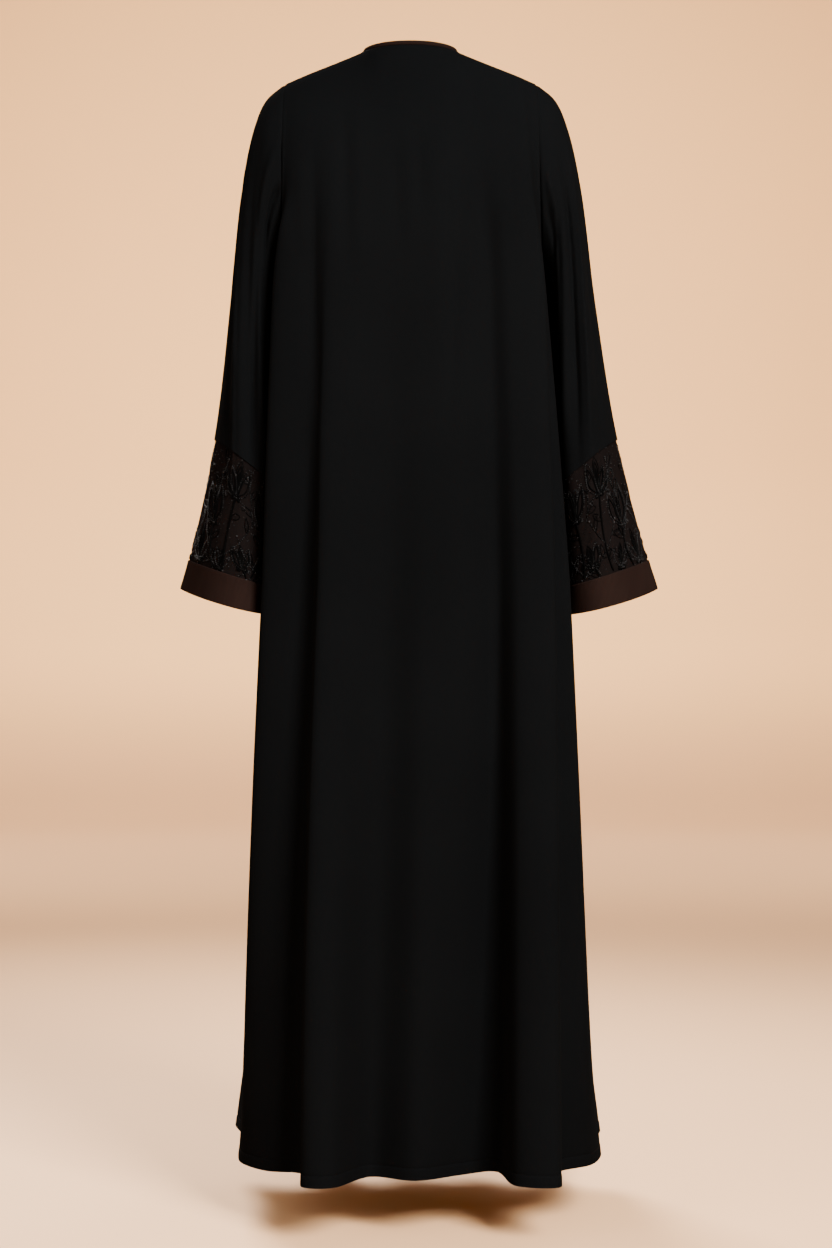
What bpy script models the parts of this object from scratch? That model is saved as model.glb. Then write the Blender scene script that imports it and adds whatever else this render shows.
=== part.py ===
"""An abaya cloak as it hangs when worn: black crepe, A-line and floor length, with a round
bound neck and set-in bell sleeves, each ending in an embroidered sheer panel and a cuff band.

Metres, +Z up. The front faces -Y and +X is the wearer's left. The origin is the middle of
the neck opening at the height of the nape, where the wearer's neck and shoulders carry it.
"""

from collections import namedtuple

import bpy
import numpy as np

# Heights
NAPE_Z = -0.003
LENGTH = 1.450
HEM_Z = -LENGTH
HIP_Z = -0.780
UNDERARM_Z = -0.300

# Neck opening and shoulders, half widths from the middle of the cloak
NECK_HALF_WIDTH = 0.063
NECK_BACK_DEPTH = 0.055
NECK_FRONT_DEPTH = 0.065
NECK_POINT_Z = -0.004
NECK_FRONT_Z = -0.085
NECK_SINK = 1.3  # above 1, the neck edge starts level from the neck point and then sinks
SHOULDER_HALF_WIDTH = 0.166
SHOULDER_TIP_Z = -0.047
UNDERARM_HALF_WIDTH = 0.170
ARMHOLE_BACK = 0.088
ARMHOLE_FRONT = 0.078

# Cloth
CREPE_THICKNESS = 0.0016
PANEL_THICKNESS = 0.0013
BAND_THICKNESS = 0.0022
BINDING_THICKNESS = 0.0024
BINDING_HEIGHT = 0.005
SIDE_TRIM = 0.0004  # a piece stops this short of a side seam, the neck or the armhole
SHOULDER_TRIM = 0.0012  # and of the shoulder seam, where the walls bend towards each other
CUFF_TRIM = 0.0006  # and of the seams of the sheer panel
LAP_DROP = 0.0030  # the right front lies this far under the left one at the middle
TUCK_START = 0.20  # top of the fold line where it starts to slip under
BINDING_GAP = 0.0006  # between it and the line of the neck edge
BINDING_PROUD = 0.0002  # how far the binding stands out from the panels' surface
BINDING_LIFT = 0.8  # how far it turns up from the cloth, as a share of its height
PANEL_DROP = 0.0010  # the sheer panel lies this far under the edge of the upper sleeve
SLEEVE_GAP = 0.0006  # a sleeve stands this far out from the armhole line

# Handles of the curves from the shoulder down to the underarm. reach is how far behind or before
# the shoulder line they leave to, and drop how far down, in the middle and at the neck point.
Leave = namedtuple("Leave", "middle_reach neck_reach middle_drop neck_drop")
BACK_LEAVE = Leave(0.090, 0.084, 0.045, 0.002)
FRONT_LEAVE = Leave(0.094, 0.052, 0.040, 0.034)
ARRIVE_RISE = 0.105
BY_ARM = 0.86  # top from which a curve bends with the armhole
SEMI_ELLIPSE = 4 / 3  # handle length that gives half an ellipse, for each unit of its depth

# The wearer's stance moves the cloak sideways: (height, shift along X)
STANCE = [(0.0, 0.0075), (-0.30, 0.005), (-0.70, -0.004), (HEM_Z, -0.003)]

# Grid sizes
FACET_WIDTH = 0.027  # across a panel, at the hem
YOKE_ROWS = 9  # from the shoulder to the underarm
SKIRT_ROWS = 15  # from the underarm to the hem
SLEEVE_COLUMNS = 26

# One row for each fold line of the body, which runs from the shoulder or neck edge to the hem.
# top is where it starts: -1 at the left shoulder tip, 0 in the middle, 1 at the right tip.
NECK_POINT = 0.5  # top where the shoulder seam meets the neck edge
Fold = namedtuple("Fold", "name top bust_x bust_y hip_x hip_y hem_x hem_y")

LEFT_SEAM = Fold("left side seam", -1.00, UNDERARM_HALF_WIDTH, 0.000, 0.176, 0.000, 0.234, -0.020)
RIGHT_SEAM = Fold("right side seam", 1.00, -UNDERARM_HALF_WIDTH, 0.000, -0.176, 0.000, -0.238, -0.022)
RIGHT_LAP = Fold("edge of left front", 0.09, -0.015, -0.143, -0.015, -0.160, -0.015, -0.232)
LEFT_LAP = Fold("edge of right front", -0.09, 0.015, -0.143, 0.015, -0.160, 0.015, -0.232)

BACK_FOLDS = [
    Fold("left back side", -0.96, 0.171, 0.055, 0.180, 0.058, 0.235, 0.035),
    Fold("left back corner", -0.91, 0.177, 0.100, 0.204, 0.116, 0.226, 0.096),
    Fold("left valley", -0.76, 0.128, 0.116, 0.150, 0.134, 0.190, 0.147),
    Fold("foot of left ridge", -0.69, 0.118, 0.121, 0.138, 0.142, 0.150, 0.160),
    Fold("left ridge", -0.62, 0.108, 0.126, 0.130, 0.168, 0.141, 0.250),
    Fold("left lobe", -0.50, 0.082, 0.130, 0.102, 0.168, 0.108, 0.254),
    Fold("left middle valley", -0.25, 0.030, 0.127, 0.040, 0.146, 0.059, 0.182),
    Fold("middle lobe", 0.00, -0.012, 0.129, -0.006, 0.156, 0.004, 0.208),
    Fold("right middle slope", 0.25, -0.055, 0.127, -0.052, 0.152, -0.052, 0.172),
    Fold("right valley", 0.50, -0.099, 0.117, -0.098, 0.132, -0.096, 0.148),
    Fold("right lobe", 0.66, -0.124, 0.121, -0.126, 0.158, -0.123, 0.242),
    Fold("right ridge", 0.86, -0.168, 0.113, -0.172, 0.156, -0.172, 0.250),
    Fold("right recess", 0.91, -0.170, 0.095, -0.171, 0.116, -0.177, 0.152),
    Fold("right back corner", 0.94, -0.171, 0.078, -0.190, 0.104, -0.220, 0.108),
    Fold("right back side", 0.97, -0.171, 0.042, -0.180, 0.055, -0.238, 0.042),
]
RIGHT_FRONT_FOLDS = [
    Fold("right front side", 0.96, -0.168, -0.038, -0.178, -0.045, -0.240, -0.085),
    Fold("right front corner", 0.86, -0.154, -0.080, -0.176, -0.096, -0.246, -0.152),
    Fold("right front valley", 0.68, -0.126, -0.116, -0.147, -0.122, -0.190, -0.176),
    Fold("right front lobe", 0.50, -0.096, -0.138, -0.116, -0.158, -0.142, -0.254),
    Fold("right inner valley", 0.34, -0.064, -0.146, -0.080, -0.149, -0.096, -0.200),
    Fold("right inner lobe", 0.20, -0.036, -0.148, -0.044, -0.166, -0.052, -0.240),
]
LEFT_FRONT_FOLDS = [
    Fold("left inner lobe", -0.20, 0.036, -0.147, 0.042, -0.168, 0.050, -0.250),
    Fold("left inner valley", -0.34, 0.064, -0.145, 0.076, -0.150, 0.090, -0.206),
    Fold("left front lobe", -0.50, 0.096, -0.138, 0.114, -0.162, 0.136, -0.262),
    Fold("left front valley", -0.68, 0.126, -0.116, 0.150, -0.124, 0.192, -0.182),
    Fold("left front corner", -0.86, 0.154, -0.080, 0.177, -0.098, 0.249, -0.196),
    Fold("left front side", -0.96, 0.168, -0.038, 0.178, -0.045, 0.238, -0.100),
]

# One row for each section of a sleeve: its outer and inner points in X and Z, and how far the
# loop between them swells to the back and to the front, and sags in the middle of both.
# rows is the number of grid rows from the section above.
Section = namedtuple("Section", "name out_x out_z in_x in_z back front sag rows")
SLEEVE_SECTIONS = [
    Section(
        "armhole", SHOULDER_HALF_WIDTH, SHOULDER_TIP_Z, UNDERARM_HALF_WIDTH, UNDERARM_Z,
        ARMHOLE_BACK, ARMHOLE_FRONT, 0.000, 0,
    ),
    Section("cap", 0.190, -0.068, 0.172, -0.312, 0.087, 0.079, 0.000, 2),
    Section("head", 0.206, -0.105, 0.175, -0.330, 0.084, 0.080, 0.000, 2),
    Section("upper arm", 0.223, -0.184, 0.178, -0.375, 0.079, 0.082, 0.000, 3),
    Section("elbow", 0.2418, -0.343, 0.181, -0.460, 0.078, 0.092, 0.000, 4),
    Section("panel seam", 0.2662, -0.514, 0.184, -0.578, 0.084, 0.108, -0.003, 4),
    Section("band seam", 0.3040, -0.6722, 0.186, -0.708, 0.098, 0.126, 0.0045, 4),
    Section("sleeve hem", 0.3155, -0.7106, 0.186, -0.743, 0.103, 0.132, 0.0095, 2),
]

# One row for each large fold of a sleeve. round is where its ridge lies: 0 outer side, 0.5 middle
# of the back, 1 inner side, 1.5 middle of the front. start and end are shares of the way down.
RIDGE_END = 1 / 3  # share of a ridge over which it rises at one end and sinks at the other
Ridge = namedtuple("Ridge", "name round_start round_end start end width height")
SLEEVE_RIDGES = {
    "left": [
        Ridge("long back ridge", 0.14, 0.42, 0.08, 0.80, 0.16, 0.008),
        Ridge("inner back ridge", 0.42, 0.74, 0.20, 0.74, 0.13, 0.006),
        Ridge("front ridge", 1.72, 1.40, 0.12, 0.85, 0.17, 0.008),
    ],
    "right": [
        Ridge("long back ridge", 0.20, 0.46, 0.08, 0.78, 0.15, 0.008),
        Ridge("inner back ridge", 0.50, 0.76, 0.16, 0.70, 0.12, 0.006),
        Ridge("front ridge", 1.66, 1.44, 0.14, 0.82, 0.16, 0.007),
    ],
}

# Colours, linear RGB
Finish = namedtuple("Finish", "name colour roughness")
CREPE = Finish("black_crepe", (0.006, 0.006, 0.007), 0.72)
ORGANZA = Finish("dark_brown_organza", (0.020, 0.012, 0.009), 0.55)
SATIN = Finish("dark_brown_satin", (0.032, 0.014, 0.009), 0.50)


def smooth(x):
    """0 up to 1 with level ends."""
    x = np.clip(x, 0.0, 1.0)
    return x * x * (3.0 - 2.0 * x)


def stance(z):
    """How far the stance moves the cloak along X at a height."""
    heights, shifts = zip(*reversed(STANCE))
    return np.interp(z, heights, shifts)


def stretch(before, start, end, after, steps):
    """Points from start towards end, without end, on a centripetal Catmull-Rom curve."""
    points = [np.asarray(p, float) for p in (before, start, end, after)]
    knots = np.zeros(4)
    for i in range(3):
        knots[i + 1] = knots[i] + max(np.linalg.norm(points[i + 1] - points[i]), 1e-6) ** 0.5
    t = np.linspace(knots[1], knots[2], steps, endpoint=False)[:, None]

    def between(a, b, i, j):
        return a * (knots[j] - t) / (knots[j] - knots[i]) + b * (t - knots[i]) / (knots[j] - knots[i])

    a = [between(points[i], points[i + 1], i, i + 1) for i in range(3)]
    b = [between(a[0], a[1], 0, 2), between(a[1], a[2], 1, 3)]
    return between(b[0], b[1], 1, 2)


def closed_curve(points, steps):
    """A smooth closed curve through the points, with so many steps after each of them."""
    n = len(points)
    parts = [
        stretch(points[i - 1], points[i], points[(i + 1) % n], points[(i + 2) % n], steps[i])
        for i in range(n)
    ]
    return np.concatenate(parts)


def open_curve(points, steps):
    """A smooth curve through the points, with so many steps after each but the last."""
    ends = [2 * points[0] - points[1], *points, 2 * points[-1] - points[-2]]
    parts = [stretch(*ends[i : i + 4], steps[i]) for i in range(len(points) - 1)]
    return np.concatenate([*parts, points[-1:]])


def bezier(p0, p1, p2, p3, v):
    v = np.asarray(v)[:, None, None]
    return (1 - v) ** 3 * p0 + 3 * v * (1 - v) ** 2 * p1 + 3 * v**2 * (1 - v) * p2 + v**3 * p3


# ---- the body


def fold_points(folds, z):
    """Where the fold lines pass through a height below the underarm, in plan."""
    bust = np.array([(f.bust_x, f.bust_y) for f in folds])
    hip = np.array([(f.hip_x, f.hip_y) for f in folds])
    hem = np.array([(f.hem_x, f.hem_y) for f in folds])
    down = (z - UNDERARM_Z) / (HEM_Z - UNDERARM_Z)
    at_hip = (HIP_Z - UNDERARM_Z) / (HEM_Z - UNDERARM_Z)
    slope = (hip - bust) / at_hip
    bend = (hem - hip) / (1 - at_hip) - slope
    plan = bust + slope * down + bend * down * (down - at_hip)
    plan[:, 0] += stance(z)
    return plan


def ring(folds, steps, z):
    """The body's section at a height below the underarm."""
    plan = closed_curve(fold_points(folds, z), steps)
    return np.column_stack([plan, np.full(len(plan), z)])


def steps_between(folds, facet_width):
    """How many facets lie between each fold line and the next, from their distance at the hem."""
    hem = fold_points(folds, HEM_Z)
    gaps = np.linalg.norm(np.roll(hem, -1, axis=0) - hem, axis=1)
    return np.maximum(2, np.round(gaps / facet_width)).astype(int)


def along_top(folds, steps):
    """top for every column, straight between the fold lines."""
    n = len(folds)
    parts = [
        np.linspace(folds[i].top, folds[(i + 1) % n].top, steps[i], endpoint=False) for i in range(n)
    ]
    return np.concatenate(parts)


def along_shoulder(top):
    """0 at the neck point and inside it, 1 at the shoulder tip."""
    return np.clip((np.abs(top) - NECK_POINT) / (1 - NECK_POINT), 0, 1)


def neck_angle(top):
    """The angle round the neck opening: 0 at the neck point and outside it, a right angle in the middle."""
    return np.clip(1 - np.abs(top) / NECK_POINT, 0, 1) * np.pi / 2


def top_edge(top, side):
    """Points of the shoulder seams and the neck edge; side is 1 at the back, -1 at the front."""
    out = along_shoulder(top)
    angle = neck_angle(top)
    depth, middle_z = (NECK_BACK_DEPTH, NAPE_Z) if side > 0 else (-NECK_FRONT_DEPTH, NECK_FRONT_Z)
    sink = np.sin(angle) ** NECK_SINK
    x = NECK_HALF_WIDTH * np.cos(angle) + (SHOULDER_HALF_WIDTH - NECK_HALF_WIDTH) * out
    y = depth * np.sin(angle)
    z = NECK_POINT_Z + (middle_z - NECK_POINT_Z) * sink + (SHOULDER_TIP_Z - NECK_POINT_Z) * out
    return np.column_stack([-np.sign(top) * x + stance(z), y, z])


def leaving(top, side):
    """The start and the first handle of the curves that run down from the shoulder and neck edge."""
    start = top_edge(top, side)
    to_neck_point = 1 - np.sin(neck_angle(top))
    to_tip = smooth(along_shoulder(top))
    curve = BACK_LEAVE if side > 0 else FRONT_LEAVE
    armhole = (ARMHOLE_BACK if side > 0 else ARMHOLE_FRONT) * SEMI_ELLIPSE
    reach = curve.middle_reach + (curve.neck_reach - curve.middle_reach) * to_neck_point
    drop = curve.middle_drop + (curve.neck_drop - curve.middle_drop) * to_neck_point
    handle = start.copy()
    handle[:, 1] = side * (reach + (armhole - reach) * to_tip)
    handle[:, 2] -= drop * (1 - to_tip)
    return start, handle


def yoke(top, side, below):
    """Columns of cloth from the shoulder seam or neck edge down to the ring at the underarm."""
    start, leave = leaving(top, side)
    by_arm = smooth((np.abs(top) - BY_ARM) / (1 - BY_ARM))
    armhole = side * (ARMHOLE_BACK if side > 0 else ARMHOLE_FRONT) * SEMI_ELLIPSE
    arrive = below.copy()
    arrive[:, 0] = (start[:, 0] + below[:, 0]) / 2
    arrive[:, 1] += (armhole - below[:, 1]) * by_arm
    arrive[:, 2] += ARRIVE_RISE * (1 - by_arm)
    return bezier(start, leave, arrive, below, np.linspace(0, 1, YOKE_ROWS + 1))


def tucked(top):
    """How far the right front has slipped under the left one: 1 where they lap."""
    return smooth((TUCK_START - top) / (TUCK_START - RIGHT_LAP.top))


def body_panels():
    """Each body panel's grid, drawn in from its seams, and the top of each of its columns."""
    folds = [LEFT_SEAM, *BACK_FOLDS, RIGHT_SEAM, *RIGHT_FRONT_FOLDS, RIGHT_LAP, LEFT_LAP, *LEFT_FRONT_FOLDS]
    steps = steps_between(folds, FACET_WIDTH)
    at = {fold.name: column for fold, column in zip(folds, np.cumsum([0, *steps]))}
    top = along_top(folds, steps)
    heights = np.linspace(UNDERARM_Z, HEM_Z, SKIRT_ROWS + 1)
    skirt = np.array([ring(folds, steps, z) for z in heights])
    spans = {
        "back": (0, at[RIGHT_SEAM.name], 1),
        "front_right": (at[RIGHT_SEAM.name], at[LEFT_LAP.name], -1),
        "front_left": (at[RIGHT_LAP.name], len(top), -1),
    }
    panels = {}
    for name, (first, last, side) in spans.items():
        columns = np.arange(first, last + 1) % len(top)
        below = skirt[:, columns]
        grid = np.concatenate([yoke(top[columns], side, below[0])[:-1], below])
        if name == "front_right":
            grid = grid - normals(grid) * (LAP_DROP * tucked(top[columns]))[None, :, None]
        on_shoulder = np.abs(top[columns]) >= NECK_POINT
        grid = drawn_in(grid, SIDE_TRIM, np.where(on_shoulder, SHOULDER_TRIM, SIDE_TRIM))
        panels[name] = grid, top[columns]
    return panels


def normals(grid):
    """Outward unit normals of a grid with rows going down and columns anticlockwise from above."""
    n = np.cross(np.gradient(grid, axis=0), np.gradient(grid, axis=1))
    return n / np.maximum(np.linalg.norm(n, axis=2, keepdims=True), 1e-12)


def drawn_in(grid, sides=0.0, top=0.0, bottom=0.0):
    """The grid with the edges that meet a seam drawn in from it, each by its own trim."""
    grid = grid.copy()
    across = slice(None)
    edges = [(0, 1, top), (-1, -2, bottom)]
    edges += [((across, 0), (across, 1), sides), ((across, -1), (across, -2), sides)]
    for edge, inner, trim in edges:
        step = grid[inner] - grid[edge]
        length = np.linalg.norm(step, axis=-1, keepdims=True)
        grid[edge] += step / np.maximum(length, 1e-9) * np.reshape(trim, (-1, 1))
    return grid


# ---- the sleeves


def sleeve_sections():
    """Rows of section values down the sleeve, and the number of the row at each named section."""
    values = np.array([section[1:] for section in SLEEVE_SECTIONS])
    steps = [section.rows for section in SLEEVE_SECTIONS[1:]]
    rows = open_curve(values[:, :-1], steps)
    at = {section.name: row for section, row in zip(SLEEVE_SECTIONS, np.cumsum([0, *steps]))}
    return rows, at


def loop(outer, inner, back, front, sag, columns):
    """A closed loop from the outer point over the back to the inner point and home in front."""
    half = np.linspace(0, 1, columns // 2 + 1)
    swell_back = np.array([0, back, -sag]) * SEMI_ELLIPSE
    swell_front = np.array([0, -front, -sag]) * SEMI_ELLIPSE
    over_back = bezier(outer, outer + swell_back, inner + swell_back, inner, half)
    over_front = bezier(inner, inner + swell_front, outer + swell_front, outer, half)
    return np.concatenate([over_back[:-1], over_front])[:, 0]


def raised(grid, ridges):
    """A sleeve's grid with its large folds raised away from the middle of each loop."""
    down = np.linspace(0, 1, len(grid))[:, None]
    around = np.linspace(0, 2, grid.shape[1])[None, :]
    height = np.zeros(grid.shape[:2])
    for ridge in ridges:
        along = (down - ridge.start) / (ridge.end - ridge.start)
        middle = ridge.round_start + (ridge.round_end - ridge.round_start) * along
        off = np.abs((around - middle + 1) % 2 - 1) / ridge.width
        fade = smooth(along / RIDGE_END) * smooth((1 - along) / RIDGE_END)
        height += ridge.height * fade * (1 - smooth(off))
    outward = grid - grid[:, :-1].mean(axis=1, keepdims=True)
    return grid + outward / np.linalg.norm(outward, axis=2, keepdims=True) * height[:, :, None]


def sleeve_grid(hand):
    """A whole sleeve, from the armhole to its hem, and the row number of each named section."""
    side = 1 if hand == "left" else -1
    rows, at = sleeve_sections()
    grid = []
    for out_x, out_z, in_x, in_z, back, front, sag in rows:
        outer = np.array([side * (out_x + SLEEVE_GAP) + stance(out_z), 0, out_z])
        inner = np.array([side * (in_x + SLEEVE_GAP) + stance(in_z), 0, in_z])
        grid.append(loop(outer, inner, back, front, sag, SLEEVE_COLUMNS))
    grid = raised(np.array(grid), SLEEVE_RIDGES[hand])
    return (grid if side > 0 else grid[:, ::-1]), at


def sleeve_pieces(hand):
    """The grids of the upper sleeve, the sheer panel and the cuff band, drawn in from their seams."""
    grid, at = sleeve_grid(hand)
    upper = grid[: at["panel seam"] + 1]
    panel = grid[at["panel seam"] : at["band seam"] + 1]
    band = grid[at["band seam"] :]
    inward = panel[:, :-1].mean(axis=1, keepdims=True) - panel
    panel = panel + inward / np.linalg.norm(inward, axis=2, keepdims=True) * PANEL_DROP
    return (
        drawn_in(upper, top=SIDE_TRIM, bottom=CUFF_TRIM),
        drawn_in(panel, top=CUFF_TRIM, bottom=CUFF_TRIM),
        drawn_in(band, top=CUFF_TRIM),
    )


def neck_strip(panels):
    """The grid of the binding, from the left front's edge round the back to the right front's."""
    left_tops, back_tops, right_tops = (panels[name][1] for name in ("front_left", "back", "front_right"))
    left_tops = left_tops[left_tops > -NECK_POINT]
    back_tops = back_tops[np.abs(back_tops) <= NECK_POINT]
    right_tops = right_tops[right_tops < NECK_POINT]
    tops = np.concatenate([left_tops, back_tops, right_tops])
    curves = [leaving(left_tops, -1), leaving(back_tops, 1), leaving(right_tops, -1)]
    edge, handle = (np.concatenate(points) for points in zip(*curves))
    down = (handle - edge) / np.linalg.norm(handle - edge, axis=1, keepdims=True)
    shoulder = np.array([SHOULDER_HALF_WIDTH - NECK_HALF_WIDTH, 0, SHOULDER_TIP_Z - NECK_POINT_Z])
    aside = shoulder / np.linalg.norm(shoulder) * np.column_stack([-np.sign(tops), tops, np.ones(len(tops))])
    by_shoulder = smooth(np.abs(tops) / NECK_POINT)[:, None]
    away = down * (1 - by_shoulder) + aside * by_shoulder
    outward = normals(np.array([edge, edge + away]))[0]
    rise = np.cross(outward, np.gradient(edge, axis=0))
    rise = rise / np.linalg.norm(rise, axis=1, keepdims=True) + outward * BINDING_LIFT
    rise /= np.linalg.norm(rise, axis=1, keepdims=True)
    strip = np.array([edge + rise * (BINDING_GAP + BINDING_HEIGHT), edge + rise * BINDING_GAP])
    under = np.concatenate([0 * left_tops, 0 * back_tops, tucked(right_tops)])
    return strip + normals(strip) * (BINDING_PROUD - LAP_DROP * under)[None, :, None]


# ---- objects


def material(finish):
    made = bpy.data.materials.get(finish.name)
    if made is None:
        made = bpy.data.materials.new(finish.name)
        made.use_nodes = True
        shader = made.node_tree.nodes["Principled BSDF"]
        shader.inputs["Base Color"].default_value = (*finish.colour, 1)
        shader.inputs["Roughness"].default_value = finish.roughness
        shader.inputs["Metallic"].default_value = 0.0
    return made


def cloth(name, grid, thickness, finish, collection):
    """A sheet of cloth through the grid, thickened inwards from it."""
    rows, columns = grid.shape[:2]
    closed = np.allclose(grid[:, 0], grid[:, -1])
    used = columns - 1 if closed else columns
    faces = []
    for row in range(rows - 1):
        for column in range(columns - 1):
            here, there = row * used + column, row * used + (column + 1) % used
            faces.append((here, here + used, there + used, there))
    mesh = bpy.data.meshes.new(name)
    mesh.from_pydata(grid[:, :used].reshape(-1, 3).tolist(), [], faces)
    mesh.shade_smooth()
    mesh.materials.append(material(finish))
    piece = bpy.data.objects.new(name, mesh)
    collection.objects.link(piece)
    wall = piece.modifiers.new("Cloth", "SOLIDIFY")
    wall.thickness = thickness
    wall.offset = -1
    return piece


def main():
    for old in list(bpy.data.objects):
        bpy.data.objects.remove(old)
    collection = bpy.data.collections.new("Abaya cloak")
    bpy.context.scene.collection.children.link(collection)
    panels = body_panels()
    for name, (grid, _) in panels.items():
        cloth(name, grid, CREPE_THICKNESS, CREPE, collection)
    for hand in ("left", "right"):
        upper, panel, band = sleeve_pieces(hand)
        cloth(f"sleeve_{hand}", upper, CREPE_THICKNESS, CREPE, collection)
        cloth(f"sleeve_panel_{hand}", panel, PANEL_THICKNESS, ORGANZA, collection)
        cloth(f"cuff_band_{hand}", band, BAND_THICKNESS, SATIN, collection)
    cloth("neck_binding", neck_strip(panels), BINDING_THICKNESS, SATIN, collection)


main()
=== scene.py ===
"""The looks of an abaya cloak: black crepe, floor length and A-line, with a round bound neck and
set-in bell sleeves that end in embroidered sheer panels and plain cuff bands.

Metres, +Z up. The front faces -Y and +X is the wearer's left. Each cloth piece is a thin shell on
the form of its own solid, with finer creases, turned hems and seams, and every piece rides on the
one body, "root".
"""

import functools
import math
from collections import namedtuple

import bpy
import numpy as np
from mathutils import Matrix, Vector


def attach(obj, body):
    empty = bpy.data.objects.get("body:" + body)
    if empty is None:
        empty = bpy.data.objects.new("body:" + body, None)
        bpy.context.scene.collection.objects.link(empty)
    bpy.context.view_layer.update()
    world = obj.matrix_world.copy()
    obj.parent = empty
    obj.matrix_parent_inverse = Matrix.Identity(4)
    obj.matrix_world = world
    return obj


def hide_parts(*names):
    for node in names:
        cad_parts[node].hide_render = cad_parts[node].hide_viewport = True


bl_info = {
    "name": "Abaya cloak",
    "version": (1, 0, 0),
    "blender": (4, 5, 0),
    "location": "3D View > Sidebar > Abaya",
    "description": "Builds the cloth, beadwork and studio of an abaya cloak round its fixed frame",
    "category": "Add Mesh",
}

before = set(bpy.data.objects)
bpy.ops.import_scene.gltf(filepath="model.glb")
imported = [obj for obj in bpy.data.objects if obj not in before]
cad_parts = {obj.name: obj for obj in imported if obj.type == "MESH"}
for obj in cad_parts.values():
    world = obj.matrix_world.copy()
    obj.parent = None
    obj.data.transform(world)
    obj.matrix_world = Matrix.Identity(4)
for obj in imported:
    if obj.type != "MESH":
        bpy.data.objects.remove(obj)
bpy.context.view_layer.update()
BODY = "root"
TINY = 1e-12  # keeps a division by no length from failing
CLOSE = 1e-6


def rows(kind, table):
    """The rows of a table as named tuples of a kind."""
    return [kind(*row) for row in table]


# Heights
NAPE_Z = -0.003
LENGTH = 1.450
HEM_Z = -LENGTH
HIP_Z = -0.780
UNDERARM_Z = -0.300

# Neck opening and shoulders, half widths from the middle of the cloak
NECK_HALF_WIDTH = 0.063
NECK_BACK_DEPTH = 0.055
NECK_FRONT_DEPTH = 0.065
NECK_POINT_Z = -0.004
NECK_FRONT_Z = -0.085
NECK_SINK = 1.3  # above 1, the neck edge starts level from the neck point and then sinks
SHOULDER_HALF_WIDTH = 0.166
SHOULDER_TIP_Z = -0.047
UNDERARM_HALF_WIDTH = 0.170
ARMHOLE_BACK = 0.088
ARMHOLE_FRONT = 0.078

# Cloth
LAP_DROP = 0.0030  # the right front lies this far under the left one at the middle
TUCK_START = 0.20  # top of the fold line where it starts to slip under
BINDING_LIFT = 0.8  # how far it turns up from the cloth, as a share of its height

# Handles of the curves from the shoulder down to the underarm. reach is how far behind or before
# the shoulder line they leave to, and drop how far down, in the middle and at the neck point.
Leave = namedtuple("Leave", "middle_reach neck_reach middle_drop neck_drop")
BACK_LEAVE = Leave(0.090, 0.084, 0.045, 0.002)
FRONT_LEAVE = Leave(0.094, 0.052, 0.040, 0.034)
ARRIVE_RISE = 0.105
BY_ARM = 0.86  # top from which a curve bends with the armhole
SEMI_ELLIPSE = 4 / 3  # handle length that gives half an ellipse, for each unit of its depth

# The wearer's stance moves the cloak sideways: (height, shift along X)
STANCE = [(0.0, 0.0075), (-0.30, 0.005), (-0.70, -0.004), (HEM_Z, -0.003)]

# One row for each fold line of the body, which runs from the shoulder or neck edge to the hem.
# top is where it starts: -1 at the left shoulder tip, 0 in the middle, 1 at the right tip.
NECK_POINT = 0.5  # top where the shoulder seam meets the neck edge
Fold = namedtuple("Fold", "name top bust_x bust_y hip_x hip_y hem_x hem_y")

LEFT_SEAM = Fold("left side seam", -1.00, UNDERARM_HALF_WIDTH, 0.000, 0.176, 0.000, 0.234, -0.020)
RIGHT_SEAM = Fold(
    "right side seam", 1.00, -UNDERARM_HALF_WIDTH, 0.000, -0.179, 0.000, -0.238, -0.022
)
RIGHT_LAP = Fold("edge of left front", 0.09, -0.015, -0.143, -0.015, -0.160, -0.015, -0.232)
LEFT_LAP = Fold("edge of right front", -0.09, 0.015, -0.143, 0.015, -0.160, 0.015, -0.232)

BACK_FOLDS = rows(Fold, [
    ("left back side", -0.96, 0.171, 0.055, 0.180, 0.058, 0.235, 0.035),
    ("left back corner", -0.91, 0.177, 0.100, 0.204, 0.116, 0.226, 0.096),
    ("left valley", -0.76, 0.128, 0.116, 0.150, 0.134, 0.190, 0.147),
    ("foot of left ridge", -0.69, 0.118, 0.121, 0.138, 0.142, 0.150, 0.160),
    ("left ridge", -0.62, 0.108, 0.126, 0.130, 0.168, 0.141, 0.250),
    ("left lobe", -0.50, 0.082, 0.130, 0.102, 0.168, 0.108, 0.254),
    ("left middle valley", -0.25, 0.030, 0.127, 0.040, 0.146, 0.059, 0.182),
    ("middle lobe", 0.00, -0.012, 0.129, -0.006, 0.156, 0.004, 0.208),
    ("right middle slope", 0.25, -0.055, 0.127, -0.052, 0.152, -0.052, 0.172),
    ("right valley", 0.50, -0.099, 0.117, -0.098, 0.132, -0.096, 0.148),
    ("right lobe", 0.66, -0.124, 0.121, -0.126, 0.158, -0.123, 0.242),
    ("right ridge", 0.86, -0.168, 0.113, -0.172, 0.156, -0.172, 0.250),
    ("right recess", 0.91, -0.170, 0.095, -0.171, 0.116, -0.177, 0.152),
    ("right back corner", 0.94, -0.171, 0.078, -0.1965, 0.104, -0.220, 0.108),
    ("right back side", 0.97, -0.171, 0.042, -0.1865, 0.055, -0.238, 0.042),
])
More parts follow.
